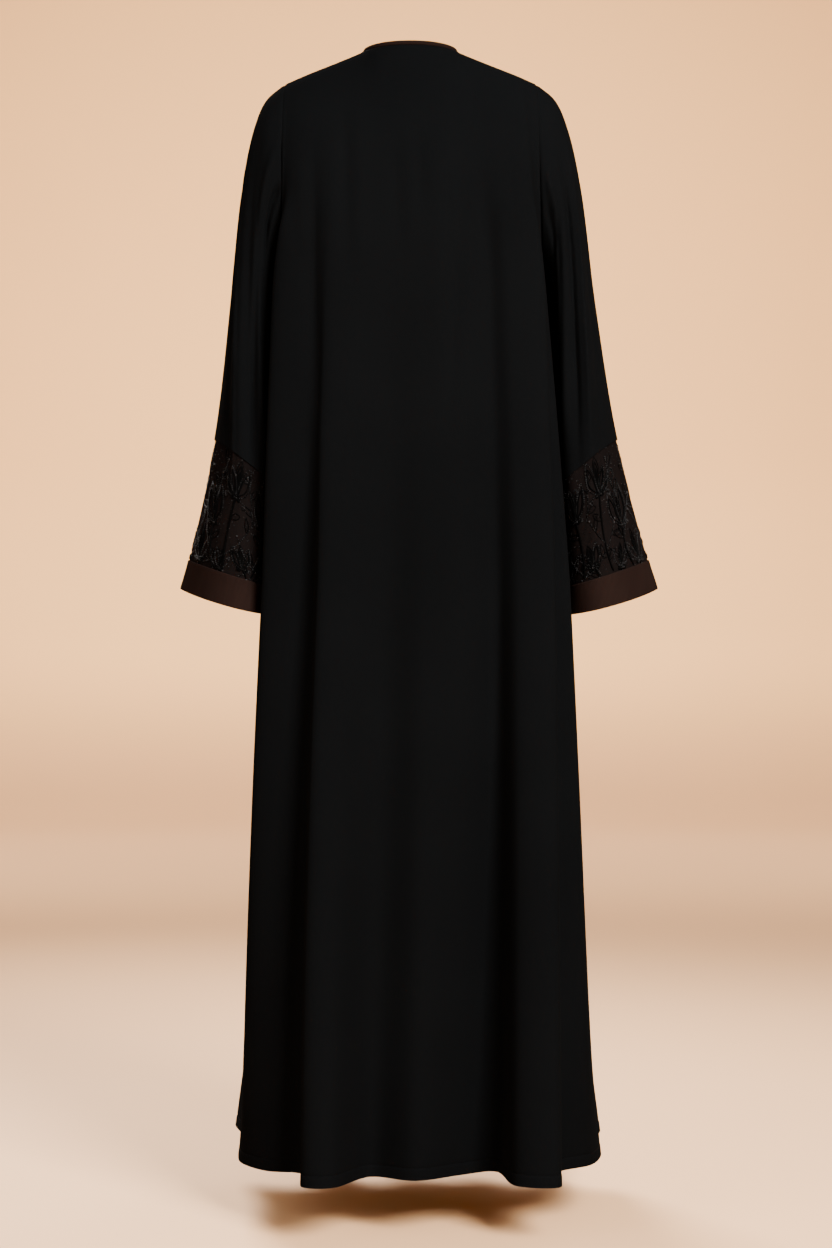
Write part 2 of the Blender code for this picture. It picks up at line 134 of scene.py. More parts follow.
RIGHT_FRONT_FOLDS = rows(Fold, [
    ("right front side", 0.96, -0.168, -0.038, -0.178, -0.045, -0.240, -0.085),
    ("right front corner", 0.86, -0.154, -0.080, -0.176, -0.096, -0.246, -0.152),
    ("right front valley", 0.68, -0.126, -0.116, -0.147, -0.122, -0.190, -0.176),
    ("right front lobe", 0.50, -0.096, -0.138, -0.116, -0.158, -0.142, -0.254),
    ("right inner valley", 0.34, -0.064, -0.146, -0.080, -0.149, -0.096, -0.200),
    ("right inner lobe", 0.20, -0.036, -0.148, -0.044, -0.166, -0.052, -0.240),
])
LEFT_FRONT_FOLDS = rows(Fold, [
    ("left inner lobe", -0.20, 0.036, -0.147, 0.042, -0.168, 0.050, -0.250),
    ("left inner valley", -0.34, 0.064, -0.145, 0.076, -0.150, 0.090, -0.206),
    ("left front lobe", -0.50, 0.096, -0.138, 0.114, -0.162, 0.136, -0.262),
    ("left front valley", -0.68, 0.126, -0.116, 0.150, -0.124, 0.192, -0.182),
    ("left front corner", -0.86, 0.154, -0.080, 0.177, -0.098, 0.249, -0.196),
    ("left front side", -0.96, 0.168, -0.038, 0.178, -0.045, 0.238, -0.100),
])

# One row for each section of a sleeve: its outer and inner points in X and Z, and how far the
# loop between them swells to the back and to the front, and sags in the middle of both. pinch
# draws its outer end to a point, and rows is the number of grid rows from the section above.
Section = namedtuple("Section", "name out_x out_z in_x in_z back front sag pinch rows")
SLEEVE_SECTIONS = [
    Section(
        "armhole", SHOULDER_HALF_WIDTH, SHOULDER_TIP_Z, UNDERARM_HALF_WIDTH, UNDERARM_Z,
        ARMHOLE_BACK, ARMHOLE_FRONT, 0.000, 0.00, 0,
    ),
    Section("cap", 0.190, -0.068, 0.172, -0.312, 0.087, 0.079, 0.000, 0.00, 2),
    Section("head", 0.206, -0.105, 0.175, -0.330, 0.084, 0.080, 0.000, 0.00, 2),
    Section("upper arm", 0.223, -0.184, 0.178, -0.375, 0.079, 0.082, 0.000, 0.00, 3),
    Section("elbow", 0.2418, -0.343, 0.181, -0.460, 0.078, 0.092, 0.000, 0.06, 4),
    Section("panel seam", 0.2662, -0.514, 0.184, -0.578, 0.084, 0.108, -0.003, 0.20, 4),
    Section("band seam", 0.3040, -0.6722, 0.186, -0.708, 0.098, 0.126, 0.0030, 0.30, 4),
    Section("sleeve hem", 0.3155, -0.7106, 0.186, -0.743, 0.103, 0.132, 0.0065, 0.32, 2),
]

# One row for each fold of a sleeve, the large ones first. round is where its ridge lies: 0 outer
# side, 0.5 middle of the back, 1 inner side, 1.5 middle of the front. start and end are shares of
# the way down. A height below 0 is a groove.
RIDGE_END = 1 / 3  # share of a ridge over which it rises at one end and sinks at the other
Ridge = namedtuple("Ridge", "name round_start round_end start end width height")
SLEEVE_FOLDS = {
    "left": rows(Ridge, [
        ("long back ridge", 0.14, 0.42, 0.08, 0.80, 0.16, 0.008),
        ("inner back ridge", 0.42, 0.74, 0.20, 0.74, 0.13, 0.006),
        ("front ridge", 1.72, 1.40, 0.12, 0.85, 0.17, 0.008),
        ("crest of the long back ridge", 0.13, 0.38, 0.12, 0.84, 0.036, 0.0048),
        ("groove outside the long ridge", 0.02, 0.30, 0.16, 0.84, 0.070, -0.0036),
        ("fold of the cap", 0.40, 0.50, -0.04, 0.32, 0.060, 0.0046),
        ("groove inside the cap fold", 0.53, 0.61, -0.06, 0.30, 0.042, -0.0120),
        ("groove of the inner back", 0.50, 0.58, 0.22, 0.76, 0.065, -0.0052),
        ("swell by the body", 0.74, 0.72, 0.16, 0.98, 0.170, 0.0090),
        ("small fold at the elbow", 0.20, 0.34, 0.44, 0.62, 0.045, 0.0016),
        ("crest of the front ridge", 1.71, 1.42, 0.14, 0.84, 0.050, 0.0022),
        ("groove beside the front ridge", 1.58, 1.28, 0.16, 0.80, 0.070, -0.0034),
        ("front fold of the cap", 1.56, 1.50, 0.03, 0.26, 0.060, 0.0028),
        ("outer front fold", 1.90, 1.78, 0.30, 0.72, 0.060, 0.0020),
    ]),
    "right": rows(Ridge, [
        ("long back ridge", 0.20, 0.46, 0.08, 0.78, 0.15, 0.008),
        ("inner back ridge", 0.50, 0.76, 0.16, 0.70, 0.12, 0.006),
        ("front ridge", 1.66, 1.44, 0.14, 0.82, 0.16, 0.007),
        ("crest of the long back ridge", 0.22, 0.46, 0.10, 0.78, 0.045, 0.0036),
        ("groove outside the long ridge", 0.10, 0.32, 0.14, 0.80, 0.065, -0.0024),
        ("groove inside the long ridge", 0.36, 0.58, 0.10, 0.72, 0.055, -0.0052),
        ("first fold of the cap", 0.50, 0.56, 0.02, 0.20, 0.050, 0.0036),
        ("groove inside it", 0.60, 0.66, 0.03, 0.24, 0.050, -0.0032),
        ("inner fold", 0.62, 0.72, 0.16, 0.44, 0.050, 0.0030),
        ("swell by the body", 0.74, 0.72, 0.16, 0.98, 0.170, 0.0090),
        ("small fold at the elbow", 0.26, 0.38, 0.46, 0.66, 0.045, 0.0016),
        ("crest of the front ridge", 1.66, 1.44, 0.16, 0.80, 0.050, 0.0022),
        ("groove beside the front ridge", 1.54, 1.32, 0.14, 0.78, 0.070, -0.0030),
        ("front fold of the cap", 1.50, 1.46, 0.03, 0.24, 0.060, 0.0028),
        ("outer front fold", 1.88, 1.80, 0.34, 0.76, 0.060, 0.0018),
    ]),
}

# Grid sizes of the looks
YOKE_ROWS = 48  # from the shoulder to the underarm, and half the columns round a sleeve
SLEEVE_FINER = 6  # rows for each row of the tables above
SEAM_LINES = (0.10, 0.24, 0.44, 0.70)  # close lines beside a seam, as shares of one facet
HEM_LINES = (  # heights of the close rows above the hem
    0.026, 0.021, 0.0175, 0.0158, 0.0145, 0.0132, 0.0115, 0.008, 0.0045, 0.002, 0.0008, 0.0
)
EASE_ROWS = 10  # rows above and below the underarm that are eased into each other
EASE_PASSES = 30
SHOULDER_EASE = (0.24, 0.40, 0.93, 0.99)  # tops between which columns are eased sideways
SHOULDER_EASE_ROWS = (7, 16)  # rows over which that begins and fades
SHOULDER_EASE_PASSES = 60

# Relief of the sewing
SEAM_DIP = 0.0011  # how deep the cloth dips into a seam
SEAM_REACH = 0.0022
SEAM_LAP = 0.0004  # how far a front reaches past its seams, so that no light comes through them
HEM_DIP = 0.0007  # along the line of stitches above the hem
HEM_DIP_REACH = 0.0013
HEM_SWELL = 0.0004  # of the doubled cloth below it

# One row for each fine crease of the body. It starts at top and ends at foot, in X and Z, and bow
# is how far its middle is shifted along X. A depth below 0 is a soft ridge.
Crease = namedtuple("Crease", "name top_x top_z foot_x foot_z bow width depth")
CREASE_END = 0.35  # share of a crease over which it starts and fades
BODY_CREASES = {
    "back": rows(Crease, [
        ("trough from right shoulder blade", -0.058, -0.085, -0.042, -0.560, -0.002, 0.011, 0.0040),
        ("swell beside it", -0.034, -0.100, -0.020, -0.400, 0.000, 0.014, -0.0012),
        ("trough below the left shoulder", 0.091, -0.060, 0.086, -0.340, 0.001, 0.011, 0.0034),
        ("small trough left of the middle", 0.026, -0.115, 0.020, -0.300, 0.001, 0.009, 0.0020),
        ("small trough right of the middle", -0.003, -0.105, -0.007, -0.240, 0.000, 0.008, 0.0018),
        ("left trough, upper part", 0.130, -0.100, 0.128, -0.520, 0.003, 0.009, 0.0042),
        ("left trough, lower part", 0.133, -0.380, 0.172, -1.430, -0.006, 0.011, 0.0052),
        ("right trough, upper part", -0.094, -0.150, -0.100, -0.560, 0.002, 0.011, 0.0028),
        ("right trough, lower part", -0.098, -0.440, -0.098, -1.430, -0.002, 0.011, 0.0048),
        ("middle trough", 0.050, -0.560, 0.064, -1.440, 0.004, 0.020, 0.0020),
        ("drag from the left armhole", 0.161, -0.165, 0.141, -0.330, 0.005, 0.008, 0.0014),
        ("drag from the right armhole", -0.156, -0.150, -0.138, -0.300, -0.004, 0.008, 0.0012),
    ]),
    "front_left": rows(Crease, [
        ("left front trough from shoulder", 0.088, -0.075, 0.076, -0.420, 0.003, 0.013, 0.0026),
        ("left front trough, lower part", 0.074, -0.420, 0.090, -1.430, -0.003, 0.013, 0.0030),
        ("left front side trough", 0.132, -0.200, 0.186, -1.420, -0.006, 0.014, 0.0030),
        ("left front drag from armhole", 0.158, -0.160, 0.136, -0.320, 0.005, 0.009, 0.0016),
    ]),
    "front_right": rows(Crease, [
        ("right front trough from shoulder", -0.082, -0.080, -0.070, -0.380, -0.003, 0.012, 0.0024),
        ("right front trough, lower part", -0.072, -0.380, -0.096, -1.430, 0.003, 0.013, 0.0030),
        ("right front side trough", -0.128, -0.180, -0.190, -1.420, 0.006, 0.014, 0.0030),
        ("right front drag from armhole", -0.152, -0.150, -0.132, -0.300, -0.005, 0.009, 0.0014),
    ]),
}

# ---- the embroidery

# A petal is a loop of cord from its foot. turn is in degrees from straight up, length and width
# in metres, and curl is how far its tip bends sideways.
Petal = namedtuple("Petal", "turn length width curl")
HEADS = {
    "lotus": [
        Petal(3, 0.046, 0.0150, 0.002),
        Petal(50, 0.048, 0.0200, -0.018),
        Petal(-24, 0.034, 0.0110, 0.000),
        Petal(-76, 0.026, 0.0080, 0.010),
    ],
    "tulip": [
        Petal(0, 0.036, 0.0125, 0.000),
        Petal(-38, 0.044, 0.0175, 0.017),
        Petal(38, 0.043, 0.0175, -0.017),
    ],
    "bud": [
        Petal(0, 0.029, 0.0095, 0.000),
        Petal(-42, 0.029, 0.0115, 0.008),
        Petal(44, 0.028, 0.0115, -0.008),
    ],
    "fan": [
        Petal(4, 0.048, 0.0095, -0.002),
        Petal(-30, 0.042, 0.0090, 0.005),
        Petal(36, 0.038, 0.0085, -0.006),
    ],
}

# A scroll is a line from the foot of a flower that ends in a coil. side is 1 where it coils
# clockwise and -1 where it coils the other way.
Scroll = namedtuple("Scroll", "turn length radius side beaded")
SCROLLS = {
    "lotus": [
        Scroll(-47, 0.032, 0.0078, -1, False),
        Scroll(-86, 0.020, 0.0034, -1, True),
        Scroll(97, 0.018, 0.0036, 1, True),
    ],
    "tulip": [Scroll(6, 0.040, 0.0050, -1, False), Scroll(-78, 0.012, 0.0026, -1, True)],
    "bud": [Scroll(96, 0.012, 0.0026, 1, True)],
    "fan": [],
}

# One row for each flower on its stem. around runs from 0 at the sleeve's outer side through 0.25
# in the middle of the back and 0.5 at the inner side to 1. down runs from 0 at the panel's upper
# seam to 1 at the cuff band. lean is in degrees, and bow is the stem's own bend in metres. The
# last three columns are left out where a stem is short and bare.
SPRAY_COLUMNS = "head around down size lean foot_around foot_down bow leaves"
Spray = namedtuple("Spray", SPRAY_COLUMNS, defaults=(1.00, 0.001, 0))
SPRAYS = {
    "left": rows(Spray, [
        ("lotus", 0.205, 0.36, 1.00, 4, 0.180, 0.98, -0.006, 2),
        ("tulip", 0.105, 0.60, 0.95, -6, 0.135, 0.99, -0.005, 2),
        ("tulip", 0.345, 0.50, 0.98, 7, 0.300, 0.98, 0.008, 3),
        ("bud", 0.262, 0.90, 1.10, -10, 0.285, 1.00, 0.002, 0),
        ("fan", 0.062, 0.95, 1.00, -6, 0.064),
        ("fan", 0.160, 0.97, 0.72, 9, 0.160),
        ("fan", 0.395, 0.96, 0.94, 5, 0.394),
        ("fan", 0.520, 0.97, 0.80, -8, 0.520),
        ("lotus", 0.470, 0.42, 0.96, -4, 0.455, 0.98, 0.006, 2),
        ("tulip", 0.585, 0.64, 0.94, 6, 0.560, 0.99, -0.006, 2),
        ("lotus", 0.695, 0.36, 1.00, -5, 0.690, 0.98, 0.008, 2),
        ("tulip", 0.800, 0.56, 0.96, 8, 0.770, 0.99, -0.006, 3),
        ("bud", 0.862, 0.90, 1.10, 12, 0.845, 1.00, 0.002, 0),
        ("fan", 0.640, 0.96, 0.90, 6, 0.640),
        ("fan", 0.735, 0.97, 0.78, -5, 0.735),
        ("fan", 0.985, 0.96, 0.90, 8, 0.985),
        ("lotus", 0.925, 0.40, 0.98, 5, 0.945, 0.98, 0.007, 2),
    ]),
    "right": rows(Spray, [
        ("lotus", 0.200, 0.34, 0.98, -3, 0.185, 0.98, 0.007, 2),
        ("tulip", 0.110, 0.62, 0.98, 8, 0.090, 0.99, 0.006, 2),
        ("tulip", 0.335, 0.45, 0.96, -4, 0.318, 0.98, -0.006, 2),
        ("bud", 0.268, 0.88, 1.15, 14, 0.250, 1.00, -0.002, 0),
        ("fan", 0.052, 0.96, 0.96, 7, 0.050),
        ("fan", 0.148, 0.97, 0.74, -8, 0.150),
        ("fan", 0.392, 0.96, 0.92, -6, 0.392),
        ("fan", 0.525, 0.97, 0.80, 8, 0.525),
        ("lotus", 0.455, 0.40, 0.98, 5, 0.470, 0.98, 0.006, 2),
        ("tulip", 0.570, 0.62, 0.95, -7, 0.590, 0.99, -0.005, 3),
        ("lotus", 0.680, 0.38, 1.00, 4, 0.700, 0.98, 0.007, 2),
        ("bud", 0.752, 0.90, 1.10, -10, 0.765, 1.00, 0.002, 0),
        ("fan", 0.632, 0.96, 0.92, 5, 0.632),
        ("fan", 0.875, 0.97, 0.78, -7, 0.875),
        ("fan", 0.985, 0.96, 0.90, -8, 0.985),
        ("tulip", 0.815, 0.54, 0.96, -6, 0.830, 0.99, 0.006, 2),
        ("lotus", 0.930, 0.38, 0.97, 6, 0.915, 0.98, -0.007, 2),
    ]),
}

# Beaded branches that cross the stems, from foot to tip
Branch = namedtuple("Branch", "foot_around foot_down tip_around tip_down bow leaves")
BRANCHES = {
    "left": rows(Branch, [
        (0.060, 0.98, 0.300, 0.50, 0.010, 3),
        (0.390, 0.97, 0.235, 0.66, -0.008, 2),
        (0.330, 0.98, 0.415, 0.56, 0.006, 2),
        (0.500, 0.97, 0.400, 0.70, 0.006, 1),
        (0.520, 0.98, 0.640, 0.50, -0.009, 3),
        (0.640, 0.98, 0.760, 0.62, 0.008, 2),
        (0.880, 0.98, 0.740, 0.70, 0.006, 2),
        (0.800, 0.98, 0.890, 0.56, -0.008, 3),
        (0.985, 0.98, 0.860, 0.66, 0.006, 1),
        (0.960, 0.97, 1.045, 0.56, 0.008, 2),
        (0.150, 0.98, 0.050, 0.42, -0.008, 4),
        (0.250, 0.98, 0.345, 0.70, 0.006, 2),
        (0.300, 0.52, 0.262, 0.16, 0.004, 3),
        (0.110, 0.44, 0.148, 0.12, -0.004, 3),
        (0.400, 0.60, 0.440, 0.22, 0.004, 2),
        (0.600, 0.50, 0.560, 0.14, 0.005, 3),
        (0.760, 0.40, 0.800, 0.12, 0.004, 2),
        (0.860, 0.56, 0.850, 0.16, -0.004, 3),
        (0.010, 0.44, 0.022, 0.12, 0.004, 3),
    ]),
    "right": rows(Branch, [
        (0.050, 0.97, 0.262, 0.52, 0.010, 3),
        (0.330, 0.98, 0.150, 0.58, -0.010, 3),
        (0.290, 0.98, 0.400, 0.64, 0.006, 2),
        (0.510, 0.97, 0.395, 0.68, 0.007, 1),
        (0.530, 0.98, 0.630, 0.50, -0.009, 3),
        (0.740, 0.98, 0.620, 0.66, 0.008, 2),
        (0.700, 0.97, 0.775, 0.58, -0.006, 2),
        (0.780, 0.98, 0.890, 0.54, 0.008, 3),
        (0.990, 0.98, 0.870, 0.70, 0.006, 2),
        (0.970, 0.98, 1.055, 0.54, -0.008, 2),
        (0.140, 0.98, 0.040, 0.44, 0.008, 4),
        (0.240, 0.98, 0.330, 0.74, -0.006, 2),
        (0.282, 0.48, 0.262, 0.16, -0.004, 3),
        (0.105, 0.44, 0.140, 0.14, 0.004, 3),
        (0.395, 0.58, 0.392, 0.20, 0.004, 2),
        (0.590, 0.46, 0.560, 0.14, -0.005, 3),
        (0.750, 0.52, 0.752, 0.16, 0.004, 3),
        (0.850, 0.42, 0.872, 0.12, -0.004, 2),
        (0.005, 0.44, 0.020, 0.12, -0.004, 3),
    ]),
}

# The edges and seams of the looks
ROW_STRETCH = 1.3  # rows of the skirt are this much further apart than its columns
CREASE_CLEAR = 0.014  # creases fade out over this distance from a panel's edges
HEM_DEPTH = 0.0145  # from the hem up to its line of stitches
FRONT_EDGE_DEPTH = 0.0125
NECK_STITCH_DEPTH = 0.008
TUCKED_ROWS = 1  # rows of the sheer panel hidden behind the pieces above and below it
PANEL_DROP = 0.0018  # the sheer panel lies this far inside them
BAND_ROUNDING = 0.0006
BINDING_HEIGHT = 0.0048
BINDING_THICKNESS = 0.0026
BINDING_PROUD = 0.0003
BINDING_FOOT = 0.0018  # how far below the cloth its outer flank starts
BINDING_FLANK_ROWS = 4
BINDING_BEND_ROWS = 9

# The cords and beads
CORD_SIDES = 5
CORD_END = 0.35  # share of its radius that a cord keeps at its ends
CORD_RISE = 0.55  # how far a cord's middle lies above the cloth, as a share of its radius
CORD_FILL = 1.00
CORD_THIN = 0.72
CORD_THICK = 1.25
CORD_STEM = 1.50
LINE_STEP = 0.0035  # between the points of a stem
LINE_POINTS = 6  # on the shortest one
PETAL_POINTS = 11  # up one side of a petal
PETAL_FULL = 1.20  # above 1, a petal is widest above its middle
PETAL_ROUND = 0.80
# Start, end and width of the lines that fill a petal, as shares of it
Filling = namedtuple("Filling", "start end width")
OUTLINE = Filling(0.0, 1.0, 1.0)
FILLINGS = [Filling(0.10, 0.86, 0.58), Filling(0.18, 0.68, 0.20)]
BEAD_RISE = 0.38
BEAD_TINY = 0.62
BEAD_SMALL = 0.78
BEAD_LARGE = 1.20
LEAF_ANGLE = 48
LEAF_LENGTH = 0.0185
LEAF_WIDTH = 0.0070
LEAF_CURL = 0.0024
LEAF_BEADS = 0.7
LEAF_SHARES = (0.22, 0.74)  # where the lowest and the highest leaf of a stem spring from it
BRANCH_LEAF_STEP = 1 / 3  # from one leaf of a branch to the next
CALYX_TURNS = (-100, -62, 62, 100)
CALYX_LENGTH = 0.0085
CALYX_WIDTH = 0.0035
FLOWER_STRETCH = (1.32, 1.0)  # flowers are drawn wider round the sleeve than down it
STEM_GAP = 1.35  # between the beads of a stem, for each unit of their usual step
PAINTED_GLINT_SPREAD = 0.56  # spread of the painted glint values of beads that outline a shape
# Spread of the painted glint values of the beads along a branch
BRANCH_PAINTED_GLINT_SPREAD = 0.72
OTHER_FILLINGS = {"lotus": 1, "tulip": 1, "bud": 1, "fan": 0}  # in each petal after the first
SCROLL_GAP = 0.62  # between the beads of a scroll, for each unit of their step on a stem
COIL_LENGTH = 6.0  # along the coil, for each unit of its radius
COIL_STEP = 0.0012
COIL_START = 0.8  # share of the arm after which it starts to coil
COIL_BEND = 0.25  # share of the coil over which its bend grows
COIL_SHRINK = 0.45
BUD_LENGTH = 0.0052
SEED_COUNT = 760  # tiny beads scattered over each panel
SEED_EDGE = 0.03
SCATTER = 7  # start of the random draws

# The stitches
STITCH_LENGTH = 0.0023
STITCH_STEP = 0.0033
STITCH_WIDTH = 0.00045
STITCH_RISE = 0.2  # how far its middle lies above the cloth, as a share of its width
BEAD_FACES = (6, 4)  # sides and rings
STITCH_FACES = (6, 4)

# ---- the cut and the studio

HANDS = ("left", "right")

# Width, length and area of each piece as it is cut
BODY_CUTS = {
    "back": (1.00, 1.47, 1.00),
    "front_left": (0.56, 1.44, 0.48),
    "front_right": (0.55, 1.44, 0.46),
}
SLEEVE_CUT = (0.48, 0.52, 0.16)
PANEL_CUT = (0.58, 0.165, 0.075)
BAND_CUT = (0.62, 0.040, 0.022)
BINDING_CUT = (0.43, 0.012, 0.0050)

LIGHT_SPREAD = math.radians(75)
Light = namedtuple("Light", "name power share place aim width height colour")
WARM = (1.0, 0.97, 0.94)
COOL = (0.96, 0.98, 1.0)
GOLDEN = (1.0, 0.95, 0.88)
LIGHTS = rows(Light, [
    ("key light", "key_power", 1.0, (-1.8, 3.5, 1.6), (0, 0, -0.75), 1.6, 2.2, WARM),
    ("fill light", "fill_power", 1.0, (2.8, 2.6, 0.8), (0, 0, -0.8), 2.0, 2.4, COOL),
    ("front key light", "key_power", 0.8, (1.3, -3.7, 1.6), (0, 0, -0.75), 1.6, 2.2, WARM),
    ("front fill light", "fill_power", 0.8, (-2.2, -3.2, 0.8), (0, 0, -0.8), 2.0, 2.4, COOL),
    ("wash light", "wash_power", 1.0, (0, -4.2, 4.2), (0, -9.0, -0.4), 4.0, 1.0, GOLDEN),
    ("front wash light", "wash_power", 1.0, (0, 4.2, 4.2), (0, 9.0, -0.4), 4.0, 1.0, GOLDEN),
    ("floor light", "wash_power", 0.8, (0, -4.8, 2.3), (0, -5.2, -1.5), 8.0, 2.0, GOLDEN),
    ("front floor light", "wash_power", 0.8, (0, 4.8, 2.3), (0, 5.2, -1.5), 8.0, 2.0, GOLDEN),
])
SKY_COLOUR = (1.0, 0.965, 0.93, 1.0)

# Radius and height above the floor of each ring of the surround
SURROUND = [(7.0, 0.0), (7.6, 0.06), (8.2, 0.28), (8.7, 0.75), (8.95, 1.5), (9.0, 2.6), (9.0, 4.6)]
SURROUND_SIDES = 96
SURROUND_SHADE_FADE = (0.0, 0.7)  # heights over which the floor's darker colour, a painted shade, turns into that of the walls

CAMERA_PLACE = (0.0, 3.65, -0.757)
CAMERA_SENSOR = 36.0


def smooth(x):
    """0 up to 1 with level ends."""
    x = np.clip(x, 0.0, 1.0)
    return x * x * (3.0 - 2.0 * x)


def swell(along, end):
    """0 up to 1 and back to 0 on the way from 0 to 1, over a share of it at each end."""
    return smooth(along / end) * smooth((1 - along) / end)


def arch(along):
    """0 at both ends of the way from 0 to 1, and 1 in its middle."""
    return 4 * along * (1 - along)


def unit(vectors):
    """The vectors at length 1."""
    return vectors / np.maximum(np.linalg.norm(vectors, axis=-1, keepdims=True), TINY)


def stance(z):
    """How far the stance moves the cloak along X at a height."""
    heights, shifts = zip(*reversed(STANCE))
    return np.interp(z, heights, shifts)


def stretch(before, start, end, after, steps):
    """Points from start towards end, without end, on a centripetal Catmull-Rom curve."""
    points = [np.asarray(p, float) for p in (before, start, end, after)]
    knots = np.zeros(4)
    for i in range(3):
        knots[i + 1] = knots[i] + max(np.linalg.norm(points[i + 1] - points[i]), CLOSE) ** 0.5
    t = np.linspace(knots[1], knots[2], steps, endpoint=False)[:, None]

    def between(a, b, i, j):
        gap = knots[j] - knots[i]
        return a * (knots[j] - t) / gap + b * (t - knots[i]) / gap

    a = [between(points[i], points[i + 1], i, i + 1) for i in range(3)]
    b = [between(a[0], a[1], 0, 2), between(a[1], a[2], 1, 3)]
    return between(b[0], b[1], 1, 2)


def closed_curve(points, steps):
    """A smooth closed curve through the points, with so many steps after each of them."""
    wrapped = [points[-1], *points, *points[:2]]
    return np.concatenate([stretch(*wrapped[i : i + 4], steps[i]) for i in range(len(points))])


def open_curve(points, steps):
    """A smooth curve through the points, with so many steps after each but the last."""
    ends = [2 * points[0] - points[1], *points, 2 * points[-1] - points[-2]]
    parts = [stretch(*ends[i : i + 4], steps[i]) for i in range(len(points) - 1)]
    return np.concatenate([*parts, points[-1:]])


def bezier(p0, p1, p2, p3, v):
    v = np.asarray(v)[:, None, None]
    return (1 - v) ** 3 * p0 + 3 * v * (1 - v) ** 2 * p1 + 3 * v**2 * (1 - v) * p2 + v**3 * p3


# ---- the body


def fold_points(folds, z):
    """Where the fold lines pass through a height below the underarm, in plan."""
    bust, hip, hem = np.array([fold[2:] for fold in folds]).reshape(-1, 3, 2).swapaxes(0, 1)
    down = (z - UNDERARM_Z) / (HEM_Z - UNDERARM_Z)
    at_hip = (HIP_Z - UNDERARM_Z) / (HEM_Z - UNDERARM_Z)
    slope = (hip - bust) / at_hip
    bend = (hem - hip) / (1 - at_hip) - slope
    plan = bust + slope * down + bend * down * (down - at_hip)
    plan[:, 0] += stance(z)
    return plan


def ring(folds, steps, z):
    """The body's section at a height below the underarm."""
    plan = closed_curve(fold_points(folds, z), steps)
    return np.column_stack([plan, np.full(len(plan), z)])


def steps_between(folds, facet_width):
    """How many facets lie between each fold line and the next, from their distance at the hem."""
    hem = fold_points(folds, HEM_Z)
    gaps = np.linalg.norm(np.roll(hem, -1, axis=0) - hem, axis=1)
    return np.maximum(2, np.round(gaps / facet_width)).astype(int)


def along_top(folds, steps):
    """top for every column, straight between the fold lines."""
    tops = [fold.top for fold in folds]
    spans = zip(tops, [*tops[1:], tops[0]], steps)
    return np.concatenate([np.linspace(*span, endpoint=False) for span in spans])


def along_shoulder(top):
    """0 at the neck point and inside it, 1 at the shoulder tip."""
    return np.clip((np.abs(top) - NECK_POINT) / (1 - NECK_POINT), 0, 1)


def neck_angle(top):
    """The angle round the neck: 0 at the neck point and outside it, a right angle in the middle."""
    return np.clip(1 - np.abs(top) / NECK_POINT, 0, 1) * np.pi / 2


def top_edge(top, side):
    """Points of the shoulder seams and the neck edge; side is 1 at the back, -1 at the front."""
    out = along_shoulder(top)
    angle = neck_angle(top)
    depth, middle_z = (NECK_BACK_DEPTH, NAPE_Z) if side > 0 else (-NECK_FRONT_DEPTH, NECK_FRONT_Z)
    sink = np.sin(angle) ** NECK_SINK
    x = NECK_HALF_WIDTH * np.cos(angle) + (SHOULDER_HALF_WIDTH - NECK_HALF_WIDTH) * out
    y = depth * np.sin(angle)
    z = NECK_POINT_Z + (middle_z - NECK_POINT_Z) * sink + (SHOULDER_TIP_Z - NECK_POINT_Z) * out
    return np.column_stack([-np.sign(top) * x + stance(z), y, z])


def armhole_handle(side):
    """How far the handles of a curve along the armhole reach, at the back or at the front."""
    return (ARMHOLE_BACK if side > 0 else ARMHOLE_FRONT) * SEMI_ELLIPSE


def leaving(top, side):
    """The start and first handle of the curves that run down from the shoulder and neck edge."""
    start = top_edge(top, side)
    to_neck_point = 1 - np.sin(neck_angle(top))
    to_tip = smooth(along_shoulder(top))
    curve = BACK_LEAVE if side > 0 else FRONT_LEAVE
    armhole = armhole_handle(side)
    reach = curve.middle_reach + (curve.neck_reach - curve.middle_reach) * to_neck_point
    drop = curve.middle_drop + (curve.neck_drop - curve.middle_drop) * to_neck_point
    handle = start.copy()
    handle[:, 1] = side * (reach + (armhole - reach) * to_tip)
    handle[:, 2] -= drop * (1 - to_tip)
    return start, handle


def yoke(top, side, below):
    """Columns of cloth from the shoulder seam or neck edge down to the ring at the underarm."""
    start, leave = leaving(top, side)
    by_arm = smooth((np.abs(top) - BY_ARM) / (1 - BY_ARM))
    arrive = below.copy()
    arrive[:, 0] = (start[:, 0] + below[:, 0]) / 2
    arrive[:, 1] += (side * armhole_handle(side) - below[:, 1]) * by_arm
    arrive[:, 2] += ARRIVE_RISE * (1 - by_arm)
    return bezier(start, leave, arrive, below, np.linspace(0, 1, YOKE_ROWS + 1))


def tucked(top):
    """How far the right front has slipped under the left one: 1 where they lap."""
    return smooth((TUCK_START - top) / (TUCK_START - RIGHT_LAP.top))


def normals(grid):
    """Outward unit normals of a grid with rows going down and columns anticlockwise from above."""
    return unit(np.cross(np.gradient(grid, axis=0), np.gradient(grid, axis=1)))


# ---- the sleeves


def sleeve_sections():
    """Rows of section values down the sleeve, and the number of the row at each named section."""
    values = np.array([section[1:] for section in SLEEVE_SECTIONS])
    steps = [section.rows * SLEEVE_FINER for section in SLEEVE_SECTIONS[1:]]
    rows = open_curve(values[:, :-1], steps)
    at = {section.name: row for section, row in zip(SLEEVE_SECTIONS, np.cumsum([0, *steps]))}
    return rows, at


def loop(outer, inner, back, front, sag, pinch, columns):
    """A closed loop from the outer point over the back to the inner point and home in front."""
    half = np.linspace(0, 1, columns // 2 + 1)
    swell_back = np.array([0, back, -sag]) * SEMI_ELLIPSE
    swell_front = np.array([0, -front, -sag]) * SEMI_ELLIPSE
    drawn = outer + (inner - outer) * pinch
    over_back = bezier(outer, drawn + swell_back, inner + swell_back, inner, half)
    over_front = bezier(inner, inner + swell_front, drawn + swell_front, outer, half)
    return np.concatenate([over_back[:-1], over_front])[:, 0]


